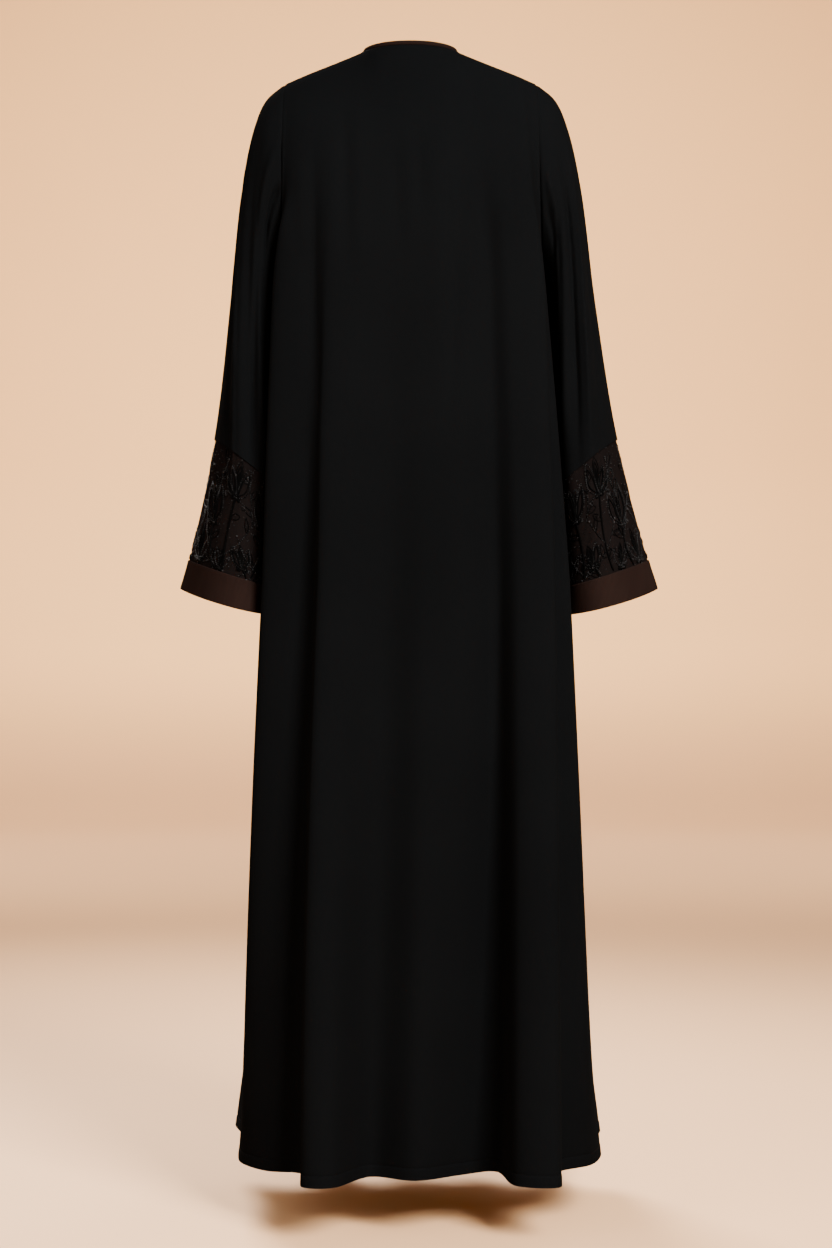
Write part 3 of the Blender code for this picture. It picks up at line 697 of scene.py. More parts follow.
def raised(grid, ridges):
    """A sleeve's grid with its large folds raised away from the middle of each loop."""
    down = np.linspace(0, 1, len(grid))[:, None]
    around = np.linspace(0, 2, grid.shape[1])[None, :]
    height = np.zeros(grid.shape[:2])
    for ridge in ridges:
        along = (down - ridge.start) / (ridge.end - ridge.start)
        middle = ridge.round_start + (ridge.round_end - ridge.round_start) * along
        off = np.abs((around - middle + 1) % 2 - 1) / ridge.width
        height += ridge.height * swell(along, RIDGE_END) * (1 - smooth(off))
    return grid + unit(grid - grid[:, :-1].mean(axis=1, keepdims=True)) * height[..., None]


# ---- the grids of the pieces


def lengths(grid, axis):
    """How far each point lies along its grid line from the first row or column."""
    steps = np.linalg.norm(np.diff(grid, axis=axis), axis=2)
    return np.cumsum(np.insert(steps, 0, 0.0, axis=axis), axis=axis)


def run_along(points):
    """How far each point of a line lies from its start."""
    return lengths(points[:, None], 0)[:, 0]


def with_seam_lines(values, axis):
    """The grid with close lines added beside its first and its last line along an axis."""
    values = np.moveaxis(values, axis, 0)
    first = [values[0] + (values[1] - values[0]) * share for share in SEAM_LINES]
    last = [values[-1] + (values[-2] - values[-1]) * share for share in reversed(SEAM_LINES)]
    values = np.concatenate([values[:1], first, values[1:-1], last, values[-1:]])
    return np.moveaxis(values, 0, axis)


def seam(distance):
    """The dip of the cloth at a distance from a seam."""
    return -SEAM_DIP * np.exp(-((distance / SEAM_REACH) ** 2))


def turned(distance, depth):
    """The relief of an edge that is turned in and stitched at a depth from its fold."""
    dip = -HEM_DIP * np.exp(-(((distance - depth) / HEM_DIP_REACH) ** 2))
    return dip + HEM_SWELL * smooth((depth - distance) / HEM_DIP_REACH)


def creased(grid, creases):
    """The grid with its fine creases pressed in along its normals."""
    x, z = grid[..., 0], grid[..., 2]
    push = np.zeros(grid.shape[:2])
    for crease in creases:
        along = (crease.top_z - z) / (crease.top_z - crease.foot_z)
        line = crease.top_x + (crease.foot_x - crease.top_x) * along
        line += crease.bow * arch(along)
        trough = np.exp(-(((x - line) / crease.width) ** 2))
        push -= crease.depth * swell(along, CREASE_END) * trough
    across = lengths(grid, 1)
    push *= smooth(np.minimum(across, across[:, -1:] - across) / CREASE_CLEAR)
    return grid + normals(grid) * push[..., None]


def eased(grid, top):
    """The grid with its bends at the underarm and below the shoulders smoothed. Its outer columns
    and its upper edge stay."""
    out = np.abs(top)
    inside = 1 - smooth((out - BY_ARM) / (1 - BY_ARM))
    rows = np.abs(np.arange(len(grid)) - YOKE_ROWS) / EASE_ROWS
    weight = (smooth(2 - rows)[:, None] * inside[None, :])[1:-1, :, None] / 2
    for _ in range(EASE_PASSES):
        middle = (grid[:-2] + grid[2:]) / 2
        grid[1:-1] += (middle - grid[1:-1]) * weight
    start, whole, last, end = SHOULDER_EASE
    aside = smooth((out - start) / (whole - start)) * smooth((end - out) / (end - last))
    begin, fade = SHOULDER_EASE_ROWS
    row = np.arange(len(grid))
    below = smooth(row / begin) * (1 - smooth((row - YOKE_ROWS / 2) / fade))
    weight = (below[:, None] * aside[None, :])[:, 1:-1, None] / 2
    for _ in range(SHOULDER_EASE_PASSES):
        middle = (grid[:, :-2] + grid[:, 2:]) / 2
        grid[:, 1:-1] += (middle - grid[:, 1:-1]) * weight
    return grid


def skirt_heights(facet):
    """Heights of the rows below the underarm: even ones, then close ones through the hem."""
    last = HEM_Z + HEM_LINES[0]
    even = np.linspace(UNDERARM_Z, last, round((UNDERARM_Z - last) / facet), endpoint=False)
    return np.concatenate([even, HEM_Z + np.array(HEM_LINES)])


def body_grids(facet):
    """Each body panel's plain grid with its fine creases, and the top of each of its columns."""
    fronts = [*RIGHT_FRONT_FOLDS, RIGHT_LAP, LEFT_LAP, *LEFT_FRONT_FOLDS]
    folds = [LEFT_SEAM, *BACK_FOLDS, RIGHT_SEAM, *fronts]
    steps = steps_between(folds, facet)
    at = {fold.name: column for fold, column in zip(folds, np.cumsum([0, *steps]))}
    top = along_top(folds, steps)
    skirt = np.array([ring(folds, steps, z) for z in skirt_heights(facet * ROW_STRETCH)])
    spans = {
        "back": (0, at[RIGHT_SEAM.name], 1),
        "front_right": (at[RIGHT_SEAM.name], at[LEFT_LAP.name], -1),
        "front_left": (at[RIGHT_LAP.name], len(top), -1),
    }
    grids = {}
    for name, (first, last, side) in spans.items():
        columns = np.arange(first, last + 1) % len(top)
        below = skirt[:, columns]
        grid = np.concatenate([yoke(top[columns], side, below[0])[:-1], below])
        grid = creased(eased(grid, top[columns]), BODY_CREASES[name])
        if name == "front_right":
            grid = grid - normals(grid) * (LAP_DROP * tucked(top[columns]))[None, :, None]
        grids[name] = grid, top[columns]
    return grids


def sewn_body(name, grid):
    """A body panel's grid with the relief of its seams, its hem and the edge of its front."""
    grid = with_seam_lines(with_seam_lines(grid, 1), 0)
    across, down = lengths(grid, 1), lengths(grid, 0)
    from_first, from_last = across, across[:, -1:] - across
    from_hem = down[-1:] - down
    relief = np.where(from_hem < 2 * HEM_DEPTH, turned(from_hem, HEM_DEPTH), seam(down))
    edges = {"front_left": from_first, "front_right": from_last}
    for distance in (from_first, from_last):
        turns = distance is edges.get(name)
        relief = relief + (turned(distance, FRONT_EDGE_DEPTH) if turns else seam(distance))
    grid = grid + normals(grid) * relief[..., None]
    if name != "back":
        for edge, beside in ((0, 1), (-1, -2)):
            grid[:, edge] += unit(grid[:, edge] - grid[:, beside]) * SEAM_LAP
    return grid


def armhole(grids, hand):
    """The line of an armhole on the body, from the shoulder tip round and back to it."""
    first, second = ("back", "front_left") if hand == "left" else ("front_right", "back")
    down, up = grids[first][0][:, 0], grids[second][0][:, -1]
    return np.concatenate([down[: YOKE_ROWS + 1], up[YOKE_ROWS - 1 :: -1]])


def sleeve_grid(hand, grids):
    """A whole sleeve from the armhole to its hem, and the row number of each named section."""
    side = 1 if hand == "left" else -1
    rows, at = sleeve_sections()
    grid = []
    for out_x, out_z, in_x, in_z, back, front, sag, pinch in rows:
        outer = np.array([side * out_x + stance(out_z), 0, out_z])
        inner = np.array([side * in_x + stance(in_z), 0, in_z])
        grid.append(loop(outer, inner, back, front, sag, pinch, 2 * YOKE_ROWS))
    grid = raised(np.array(grid), SLEEVE_FOLDS[hand])
    if side < 0:
        grid = grid[:, ::-1]
    fade = 1 - smooth(np.arange(len(grid)) / at["head"])
    return grid + (armhole(grids, hand) - grid[0]) * fade[:, None, None], at


def wrapped_normals(grid):
    """Outward normals of a grid that closes on itself, the same in its first and last column."""
    wide = np.concatenate([grid[:, -2:-1], grid, grid[:, 1:2]], axis=1)
    return normals(wide)[:, 1:-1]


def sleeve_pieces(hand, grids):
    """The grids of the upper sleeve, the sheer panel and the cuff band, with their relief."""
    grid, at = sleeve_grid(hand, grids)
    outward = wrapped_normals(grid)
    tuck = at["panel seam"] - TUCKED_ROWS
    inset = at["band seam"] + TUCKED_ROWS + 1
    upper = with_seam_lines(grid[: at["panel seam"] + 1], 0)
    panel = grid[tuck:inset] - outward[tuck:inset] * PANEL_DROP
    band = with_seam_lines(grid[at["band seam"] :], 0)
    upper = upper + wrapped_normals(upper) * seam(lengths(upper, 0))[..., None]
    below = lengths(band, 0)
    rounding = np.exp(-below / BAND_ROUNDING) + np.exp(-(below[-1:] - below) / BAND_ROUNDING)
    band = band - wrapped_normals(band) * (BAND_ROUNDING * rounding)[..., None]
    return {"sleeve": upper, "sleeve_panel": panel, "cuff_band": band}


def neck_line(grids):
    """The neck edge from the left front round the back to the right front, the way that the
    binding rises from it, the way out from the cloth, and how far it lies under the lap."""
    in_order = ("front_left", "back", "front_right")
    left_tops, back_tops, right_tops = (grids[name][1] for name in in_order)
    left_tops = left_tops[left_tops > -NECK_POINT]
    back_tops = back_tops[np.abs(back_tops) <= NECK_POINT]
    right_tops = right_tops[right_tops < NECK_POINT]
    tops = np.concatenate([left_tops, back_tops, right_tops])
    curves = [leaving(left_tops, -1), leaving(back_tops, 1), leaving(right_tops, -1)]
    edge, handle = (np.concatenate(points) for points in zip(*curves))
    down = unit(handle - edge)
    shoulder = np.array([SHOULDER_HALF_WIDTH - NECK_HALF_WIDTH, 0, SHOULDER_TIP_Z - NECK_POINT_Z])
    aside = unit(shoulder) * np.column_stack([-np.sign(tops), tops, np.ones(len(tops))])
    by_shoulder = smooth(np.abs(tops) / NECK_POINT)[:, None]
    away = down * (1 - by_shoulder) + aside * by_shoulder
    outward = normals(np.array([edge, edge + away]))[0]
    rise = unit(unit(np.cross(outward, np.gradient(edge, axis=0))) + outward * BINDING_LIFT)
    under = np.concatenate([0 * left_tops, 0 * back_tops, tucked(right_tops)])
    return edge, rise, outward, under


def binding_grid(grids):
    """The binding's outer surface: up from the neck edge, over its fold and down inside."""
    edge, rise, outward, under = neck_line(grids)
    out = normals(np.array([edge + rise * BINDING_HEIGHT, edge]))[0]
    radius = BINDING_THICKNESS / 2
    flank = np.linspace(0, BINDING_HEIGHT - radius, BINDING_FLANK_ROWS)
    bend = np.linspace(0, np.pi, BINDING_BEND_ROWS)
    up = np.concatenate([flank, BINDING_HEIGHT - radius + radius * np.sin(bend[1:-1]), flank[::-1]])
    aside = np.concatenate([0 * flank, radius * (np.cos(bend[1:-1]) - 1), 0 * flank - 2 * radius])
    aside = aside + BINDING_PROUD
    base = edge + out * (-LAP_DROP * under)[:, None]
    grid = base[None] + rise[None] * up[::-1, None, None] + out[None] * aside[::-1, None, None]
    foot = edge - outward * (BINDING_FOOT + LAP_DROP * under)[:, None]
    return np.concatenate([grid, foot[None]])


# ---- meshes and objects


def clear_selection():
    bpy.ops.object.select_all(action="DESELECT")


def linked(mesh, material):
    """A new object of the mesh's name, smooth and with its material."""
    mesh.validate()
    mesh.shade_smooth()
    mesh.materials.append(material)
    piece = bpy.data.objects.new(mesh.name, mesh)
    bpy.context.scene.collection.objects.link(piece)
    return piece


def cloth(name, grid, thickness, material):
    """A sheet of cloth through the grid, thickened inwards unless its grid has both its faces,
    with a UV map in metres."""
    rows, columns = grid.shape[:2]
    closed = np.allclose(grid[:, 0], grid[:, -1])
    used = columns - 1 if closed else columns
    row, column = np.meshgrid(np.arange(rows - 1), np.arange(columns - 1), indexing="ij")
    corners = [(row, column), (row + 1, column), (row + 1, column + 1), (row, column + 1)]
    faces = np.stack([r * used + c % used for r, c in corners], axis=-1).reshape(-1, 4)
    mesh = bpy.data.meshes.new(name)
    mesh.from_pydata(grid[:, :used].reshape(-1, 3).tolist(), [], faces.tolist())
    plan = np.stack([lengths(grid, 1), lengths(grid, 0)], axis=-1)
    laid = np.stack([plan[r, c] for r, c in corners], axis=-2)
    uv_map = mesh.uv_layers.new(name="Cloth")
    uv_map.data.foreach_set("uv", laid.astype(np.float32).ravel())
    piece = linked(mesh, material)
    if thickness is not None:
        wall = piece.modifiers.new("Cloth", "SOLIDIFY")
        wall.thickness = thickness
        wall.offset = -1
    return piece


def carried(piece, node=None):
    """The piece rides on the cloak's one body, and the frame's solid of its node is hidden."""
    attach(piece, BODY)
    if node:
        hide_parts(node)
    return piece


def strand(points, outward, radius):
    """Rings of a tube along points on the cloth, with its faces and the map of its surface."""
    along = unit(np.gradient(points, axis=0))
    aside = unit(np.cross(along, outward))
    up = np.cross(aside, along)
    angle = (2 * np.pi * np.arange(CORD_SIDES) / CORD_SIDES)[None, :, None]
    size = np.full(len(points), radius)
    size[[0, -1]] *= CORD_END
    spokes = np.cos(angle) * aside[:, None] + np.sin(angle) * up[:, None]
    rings = points[:, None] + spokes * size[:, None, None]
    run = run_along(points)
    faces, laid = [], []
    for i in range(len(points) - 1):
        for k in range(CORD_SIDES):
            m = (k + 1) % CORD_SIDES
            near, far = i * CORD_SIDES, (i + 1) * CORD_SIDES
            faces.append((near + k, near + m, far + m, far + k))
            low, high = k / CORD_SIDES, (k + 1) / CORD_SIDES
            laid += [(low, run[i]), (high, run[i]), (high, run[i + 1]), (low, run[i + 1])]
    last = (len(points) - 1) * CORD_SIDES
    faces += [tuple(reversed(range(CORD_SIDES))), tuple(range(last, last + CORD_SIDES))]
    laid += [(0.5, run[0])] * CORD_SIDES + [(0.5, run[-1])] * CORD_SIDES
    return rings.reshape(-1, 3), faces, laid


def cord_mesh(name, strands):
    """One mesh of many strands, each given as its points, their normals and its radius."""
    points, faces, shares, count = [], [], [], 0
    for given in strands:
        ring_points, ring_faces, ring_shares = strand(*given)
        points.append(ring_points)
        faces += [tuple(corner + count for corner in face) for face in ring_faces]
        shares += ring_shares
        count += len(ring_points)
    mesh = bpy.data.meshes.new(name)
    mesh.from_pydata(np.concatenate(points).tolist(), [], faces)
    uv_map = mesh.uv_layers.new(name="Cord")
    uv_map.data.foreach_set("uv", np.array(shares, np.float32).ravel())
    return mesh


def bead_shape(segments, rings, stretch_along):
    """The points and faces of one bead, modelled as a sphere and stretched along its thread."""
    clear_selection()
    bpy.ops.mesh.primitive_uv_sphere_add(segments=segments, ring_count=rings, radius=0.5)
    bead = bpy.context.object
    bpy.ops.object.mode_set(mode="EDIT")
    bpy.ops.transform.resize(value=(stretch_along, 1, 1))
    bpy.ops.object.mode_set(mode="OBJECT")
    points = np.array([vertex.co for vertex in bead.data.vertices])
    faces = [tuple(face.vertices) for face in bead.data.polygons]
    mesh = bead.data
    bpy.data.objects.remove(bead)
    bpy.data.meshes.remove(mesh)
    return points, faces


def bead_mesh(name, shape, places, draws):
    """One mesh of many beads. places are rows of (points, along, outward, sizes, spreads). Each
    bead has its own value, at most its spread below 1, that sets its painted glint; for a stitch it
    sets a random tone."""
    bead_points, bead_faces = shape
    at, along, outward, sizes, spreads = (np.concatenate(column) for column in zip(*places))
    along = unit(along)
    aside = unit(np.cross(outward, along))
    turn = np.stack([along, aside, np.cross(along, aside)], axis=1)
    points = at[:, None] + (bead_points @ turn) * sizes[:, None, None]
    count = len(bead_points)
    faces = [tuple(c + i * count for c in face) for i in range(len(at)) for face in bead_faces]
    mesh = bpy.data.meshes.new(name)
    mesh.from_pydata(points.reshape(-1, 3).tolist(), [], faces)
    shine = mesh.attributes.new(name="shine", type="FLOAT", domain="POINT")
    # Values near 1 give a bead its painted glint, and a stitch a lighter random tone
    painted_glints_and_tones = 1 - draws.random(len(at)) * spreads
    shine.data.foreach_set("value", np.repeat(painted_glints_and_tones, count).astype(np.float32))
    return mesh


# ---- the embroidery and the stitches


def surface_of(grid, mirrored):
    """A function that gives places and outward normals at shares of the way round and down a
    closed grid. Shares of the way round run from the outer side over the back on both sleeves."""
    outward = wrapped_normals(grid)

    def at(around, depth):
        around = np.asarray(around, float) % 1.0
        column = (1 - around if mirrored else around) * (grid.shape[1] - 1)
        row = np.clip(depth, 0.0, 1.0) * (grid.shape[0] - 1)
        c = np.clip(column.astype(int), 0, grid.shape[1] - 2)
        r = np.clip(row.astype(int), 0, grid.shape[0] - 2)
        u, v = (column - c)[:, None], (row - r)[:, None]
        mixed = []
        for values in (grid, outward):
            top = values[r, c] * (1 - u) + values[r, c + 1] * u
            low = values[r + 1, c] * (1 - u) + values[r + 1, c + 1] * u
            mixed.append(top * (1 - v) + low * v)
        return mixed

    return at


def beads_along(points, outward, step, size, spread=1.0):
    """A row of beads or stitches at an even step along a line: places, ways along the line,
    normals, sizes and spreads."""
    run = run_along(points)
    share = np.linspace(0, run[-1], max(2, int(run[-1] / step) + 1))
    placed, facing = (
        np.stack([np.interp(share, run, values[:, k]) for k in range(3)], axis=1)
        for values in (points, outward)
    )
    count = len(share)
    return placed, np.gradient(placed, axis=0), facing, np.full(count, size), np.full(count, spread)


def bent_line(start, end, bow):
    """Plan points on a bent line, with bow as the shift of its middle to one side."""
    start, end = np.array(start, float), np.array(end, float)
    count = max(LINE_POINTS, int(np.linalg.norm(end - start) / LINE_STEP))
    share = np.linspace(0, 1, count)[:, None]
    way = end - start
    aside = unit(np.array([-way[1], way[0]]))
    return start + way * share + aside * bow * arch(share)


def headings(turn):
    """The ways up and aside in a panel's plan, turned by so many degrees."""
    angle = math.radians(turn)
    up = np.array([math.sin(angle), -math.cos(angle)])
    return up, np.array([math.cos(angle), math.sin(angle)])


def petal_loop(foot, petal, size, lean, filling=OUTLINE):
    """Plan points round a petal, from its foot up one side over the tip and down the other."""
    forth = np.linspace(0, 1, PETAL_POINTS)
    share = np.concatenate([forth, forth[::-1][1:]])
    side = np.concatenate([-np.ones(PETAL_POINTS), np.ones(PETAL_POINTS - 1)])
    length, width = petal.length * size, petal.width * size
    forward = filling.start + (filling.end - filling.start) * share
    across = side * width / 2 * filling.width * np.sin(np.pi * share**PETAL_FULL) ** PETAL_ROUND
    across = across + petal.curl * size * forward**2
    forward = forward * length
    up, aside = headings(petal.turn + lean)
    return foot + (forward[:, None] * up + across[:, None] * aside) * FLOWER_STRETCH


def scroll_line(foot, scroll, size, lean):
    """Plan points out along a scroll's arm and round its shrinking coil."""
    arm, radius = scroll.length * size, scroll.radius * size
    run = np.arange(0, arm + radius * COIL_LENGTH, COIL_STEP)
    coiled = np.clip((run - arm * COIL_START) / (run[-1] - arm * COIL_START), 0, 1)
    bend = scroll.side * smooth(coiled / COIL_BEND) / (radius * (1 - COIL_SHRINK * coiled))
    heading = math.radians(scroll.turn + lean) + np.cumsum(bend) * COIL_STEP
    steps = np.column_stack([np.sin(heading), -np.cos(heading)]) * COIL_STEP
    return foot + np.cumsum(steps, axis=0) * FLOWER_STRETCH


class Embroidery:
    """The cords and beads that are laid on one sleeve's sheer panel."""

    def __init__(self, panel, mirrored, beadwork):
        self.at = surface_of(panel, mirrored)
        self.width = lengths(panel, 1)[:, -1].mean()
        self.height = lengths(panel, 0)[-1].mean()
        self.sizes = beadwork
        self.strands = []
        self.beads = []

    def place(self, around, down):
        return np.array([around * self.width, down * self.height])

    def on_panel(self, plan):
        return self.at(plan[:, 0] / self.width, plan[:, 1] / self.height)

    def cord(self, plan, thickness=1.0):
        points, outward = self.on_panel(plan)
        radius = self.sizes.cord_width / 2 * thickness
        self.strands.append((points + outward * radius * CORD_RISE, outward, radius))

    def bead_line(self, plan, size=1.0, gap=1.0, spread=1.0):
        """Beads along a line. The smaller the spread of their values, the more get a painted glint."""
        points, outward = self.on_panel(plan)
        diameter = self.sizes.bead_size * size
        points = points + outward * diameter * BEAD_RISE
        step = self.sizes.bead_step * gap
        self.beads.append(beads_along(points, outward, step, diameter, spread))

    def petal(self, foot, petal, size, lean, fillings):
        outline = petal_loop(foot, petal, size, lean)
        self.cord(outline, CORD_THIN)
        if fillings < len(FILLINGS):
            self.bead_line(outline, BEAD_SMALL, 1.0, PAINTED_GLINT_SPREAD)
        for filling in FILLINGS[:fillings]:
            self.cord(petal_loop(foot, petal, size, lean, filling), CORD_FILL)

    def leaf(self, stem, share, side):
        """A leaf that springs from a stem, at a share of its way up."""
        i = min(int(share * (len(stem) - 1)), len(stem) - 2)
        way = stem[i + 1] - stem[i]
        turn = math.degrees(math.atan2(way[0], -way[1])) + side * LEAF_ANGLE
        leaf = Petal(turn, LEAF_LENGTH, LEAF_WIDTH, side * LEAF_CURL)
        self.cord(petal_loop(stem[i], leaf, 1.0, 0), CORD_THIN)
        tip = stem[i] + headings(turn)[0] * LEAF_LENGTH
        self.bead_line(bent_line(stem[i], stem[i] + (tip - stem[i]) * LEAF_BEADS, 0), BEAD_TINY)

    def spray(self, spray):
        """A flower head on its beaded stem."""
        foot = self.place(spray.around, spray.down)
        stem = bent_line(self.place(spray.foot_around, spray.foot_down), foot, spray.bow)
        self.cord(stem, CORD_STEM)
        self.bead_line(stem, 1.0, STEM_GAP)
        lowest, highest = LEAF_SHARES
        for number in range(spray.leaves):
            share = lowest + (highest - lowest) * number / max(spray.leaves - 1, 1)
            self.leaf(stem, share, 1 if number % 2 else -1)
        fillings = len(FILLINGS)
        for petal in HEADS[spray.head]:
            self.petal(foot, petal, spray.size, spray.lean, fillings)
            fillings = OTHER_FILLINGS[spray.head]
        for scroll in SCROLLS[spray.head]:
            line = scroll_line(foot, scroll, spray.size, spray.lean)
            if not scroll.beaded:
                self.cord(line)
            self.bead_line(line, BEAD_SMALL, SCROLL_GAP, 1.0 if scroll.beaded else PAINTED_GLINT_SPREAD)
        for turn in CALYX_TURNS:
            sepal = Petal(turn, CALYX_LENGTH, CALYX_WIDTH, 0)
            self.cord(petal_loop(foot, sepal, spray.size, spray.lean), CORD_THICK)
        self.bead_line(bent_line(foot - (CALYX_WIDTH, 0), foot + (CALYX_WIDTH, 0), 0), BEAD_LARGE)

    def branch(self, branch):
        """A dotted branch with leaves and a few beads for its buds."""
        foot = self.place(branch.foot_around, branch.foot_down)
        line = bent_line(foot, self.place(branch.tip_around, branch.tip_down), branch.bow)
        self.cord(line, CORD_THIN)
        self.bead_line(line, BEAD_SMALL, 1.0, BRANCH_PAINTED_GLINT_SPREAD)
        for number in range(branch.leaves):
            self.leaf(line, LEAF_SHARES[0] + number * BRANCH_LEAF_STEP, 1 if number % 2 else -1)
        bud = line[-1] + unit(line[-1] - line[-2]) * BUD_LENGTH
        self.bead_line(bent_line(line[-1], bud, 0), BEAD_LARGE)

    def seeds(self, draws):
        """Tiny beads scattered over the whole panel."""
        down = draws.uniform(SEED_EDGE, 1 - SEED_EDGE, SEED_COUNT)
        plan = np.column_stack([draws.uniform(0, 1, SEED_COUNT) * self.width, down * self.height])
        points, outward = self.on_panel(plan)
        diameter = self.sizes.bead_size * BEAD_TINY
        points = points + outward * diameter * BEAD_RISE
        along = np.cross(outward, (0.0, 0.0, 1.0))
        sizes = np.full(SEED_COUNT, diameter)
        self.beads.append((points, along, outward, sizes, np.ones(SEED_COUNT)))


def seam_line(grid, depth, columns):
    """A line on a body panel at a depth below its upper edge, or above its hem for a depth
    below 0, with its normals."""
    down, outward = lengths(grid, 0), normals(grid)
    points, facing = [], []
    for column in columns:
        at = depth if depth > 0 else down[-1, column] + depth
        points.append([np.interp(at, down[:, column], grid[:, column, k]) for k in range(3)])
        facing.append([np.interp(at, down[:, column], outward[:, column, k]) for k in range(3)])
    return np.array(points), np.array(facing)


def edge_line(grid, depth):
    """A line down a body panel at a depth inside its first column, with its normals."""
    points, facing = seam_line(np.swapaxes(grid, 0, 1), depth, range(grid.shape[0]))
    return points, -facing


def stitches(points, outward):
    """A row of stitches along a line."""
    raised_points = points + outward * STITCH_WIDTH * STITCH_RISE
    return beads_along(raised_points, outward, STITCH_STEP, STITCH_WIDTH)


# ---- materials

FINE_MOTTLE = 420.0  # spots a metre in the fine part of a cloth's uneven tone
FINE_SHARE = 0.45
MOTTLE_RANGE = (0.36, 0.64)  # values of the mixed noise between which a tone changes
GRAINS = 1100.0  # of crepe, a metre
CRINKLES = 70.0
WANDER = 60.0  # bends a metre in the threads of a weave
GAP_RANGE = (0.55, 0.15)  # heights of a weave over which its gaps open
STREAK_SCALE = (260.0, 14.0, 1.0)  # across the cloth and along it, a metre
STREAK_SHADES = (0.78, 1.22)
ORGANZA_THREADS = 1100.0  # a metre
SATIN_THREADS = 1400.0

# How the tone of a surface varies: its shades as shares of its colour, patches a metre, and its
# roughness, which is added to a mean one where the user may change that
Tone = namedtuple("Tone", "dark light patches smoothest roughest")
CREPE_TONE = Tone(0.92, 1.08, 5.0, -0.07, 0.07)
WOVEN_TONE = Tone(0.91, 1.09, 9.0, -0.06, 0.08)
CORD_TONE = Tone(0.75, 1.35, 40.0, 0.42, 0.62)
STUDIO_TONE = Tone(0.985, 1.01, 0.8, 0.75, 0.85)
THREAD_SHADES = (0.7, 1.4)


def feed(tree, node, inputs):
    """Give a node its inputs, by name or number. Each is a value or another node's output."""
    for name, value in inputs.items():
        if isinstance(value, bpy.types.NodeSocket):
            tree.links.new(value, node.inputs[name])
        else:
            node.inputs[name].default_value = value


def add(tree, kind, inputs=None, **settings):
    """Add a node with its settings and inputs, and give its outputs."""
    node = tree.nodes.new(f"ShaderNode{kind}")
    for name, value in settings.items():
        setattr(node, name, value)
    feed(tree, node, inputs or {})
    return node.outputs


def mixed(tree, factor, low, high):
    """A colour between two. A mix node's colours are its inputs 6 and 7 and its output 2."""
    return add(tree, "Mix", {"Factor": factor, 6: low, 7: high}, data_type="RGBA")[2]


def computed(tree, operation, *values):
    """The result of a sum with one or two values."""
    return add(tree, "Math", dict(enumerate(values)), operation=operation)["Value"]


def computed_vector(tree, operation, inputs):
    """The result of a sum with vectors."""
    return add(tree, "VectorMath", inputs, operation=operation)["Vector"]


def ribs(tree, half_turns):
    """The round backs of threads, as the size of the sine of so many half turns."""
    angle = computed(tree, "MULTIPLY", half_turns, math.pi)
    return computed(tree, "ABSOLUTE", computed(tree, "SINE", angle))


def cloth_tone(tree, given):
    """Soft, uneven tone over a cloth: a colour between two and a roughness between two."""
    place = given["Place"]
    broad = add(tree, "TexNoise", {"Vector": place, "Scale": given["Patch size"], "Detail": 2.0})
    fine = add(tree, "TexNoise", {"Vector": place, "Scale": FINE_MOTTLE, "Detail": 2.0})
    both = add(tree, "Mix", {"Factor": FINE_SHARE, "A": broad["Fac"], "B": fine["Fac"]})
    low, high = MOTTLE_RANGE
    span = {"Value": both["Result"], "From Min": low, "From Max": high}
    spread = add(tree, "MapRange", span, interpolation_type="SMOOTHSTEP")
    rough_span = {**span, "To Min": given["Smoothest"], "To Max": given["Roughest"]}
    rough = add(tree, "MapRange", rough_span)
    colour = mixed(tree, spread["Result"], given["Dark"], given["Light"])
    return {"Color": colour, "Roughness": rough["Result"]}


def crepe_pebble(tree, given):
    """The fine pebbled face of crepe: a normal with small grains and a slight crinkle."""
    place = given["Place"]
    grain = add(tree, "TexVoronoi", {"Vector": place, "Scale": GRAINS})["Distance"]
    crinkle = add(tree, "TexNoise", {"Vector": place, "Scale": CRINKLES, "Detail": 3.0})["Fac"]
    crinkled = {"Height": crinkle, "Strength": 1.0, "Distance": given["Crinkle depth"]}
    grainy = {"Height": grain, "Strength": 1.0, "Distance": given["Grain depth"]}
    grainy["Normal"] = add(tree, "Bump", crinkled)["Normal"]
    return {"Normal": add(tree, "Bump", grainy, invert=True)["Normal"]}


def plain_weave(tree, given):
    """A plain weave along a piece's own map: a height, a mask of its gaps, and its streaks."""
    laid = given["Map"]
    wander = add(tree, "TexNoise", {"Vector": laid, "Scale": WANDER, "Detail": 1.0})["Color"]
    centred = computed_vector(tree, "SUBTRACT", {0: wander, 1: (0.5, 0.5, 0.5)})
    pushed = computed_vector(tree, "SCALE", {0: centred, "Scale": given["Unevenness"]})
    moved = computed_vector(tree, "ADD", {0: laid, 1: pushed})
    split = add(tree, "SeparateXYZ", {"Vector": moved})
    threads = []
    for axis in ("X", "Y"):
        half_turns = computed(tree, "MULTIPLY", split[axis], given["Threads"])
        threads.append(ribs(tree, half_turns))
    height = computed(tree, "MAXIMUM", *threads)
    full, empty = GAP_RANGE
    gaps = add(tree, "MapRange", {"Value": height, "From Min": full, "From Max": empty})["Result"]
    across = add(tree, "Mapping", {"Vector": laid, "Scale": STREAK_SCALE})["Vector"]
    streaks = add(tree, "TexNoise", {"Vector": across, "Scale": 1.0, "Detail": 2.0})["Fac"]
    return {"Height": height, "Gaps": gaps, "Streaks": streaks}


def cord_twist(tree, given):
    """The twist of a cord along its own map, as a height."""
    split = add(tree, "SeparateXYZ", {"Vector": given["Map"]})
    along = computed(tree, "MULTIPLY", split["Y"], given["Turns"])
    around = computed(tree, "MULTIPLY", split["X"], 2.0)
    return {"Height": ribs(tree, computed(tree, "ADD", along, around))}


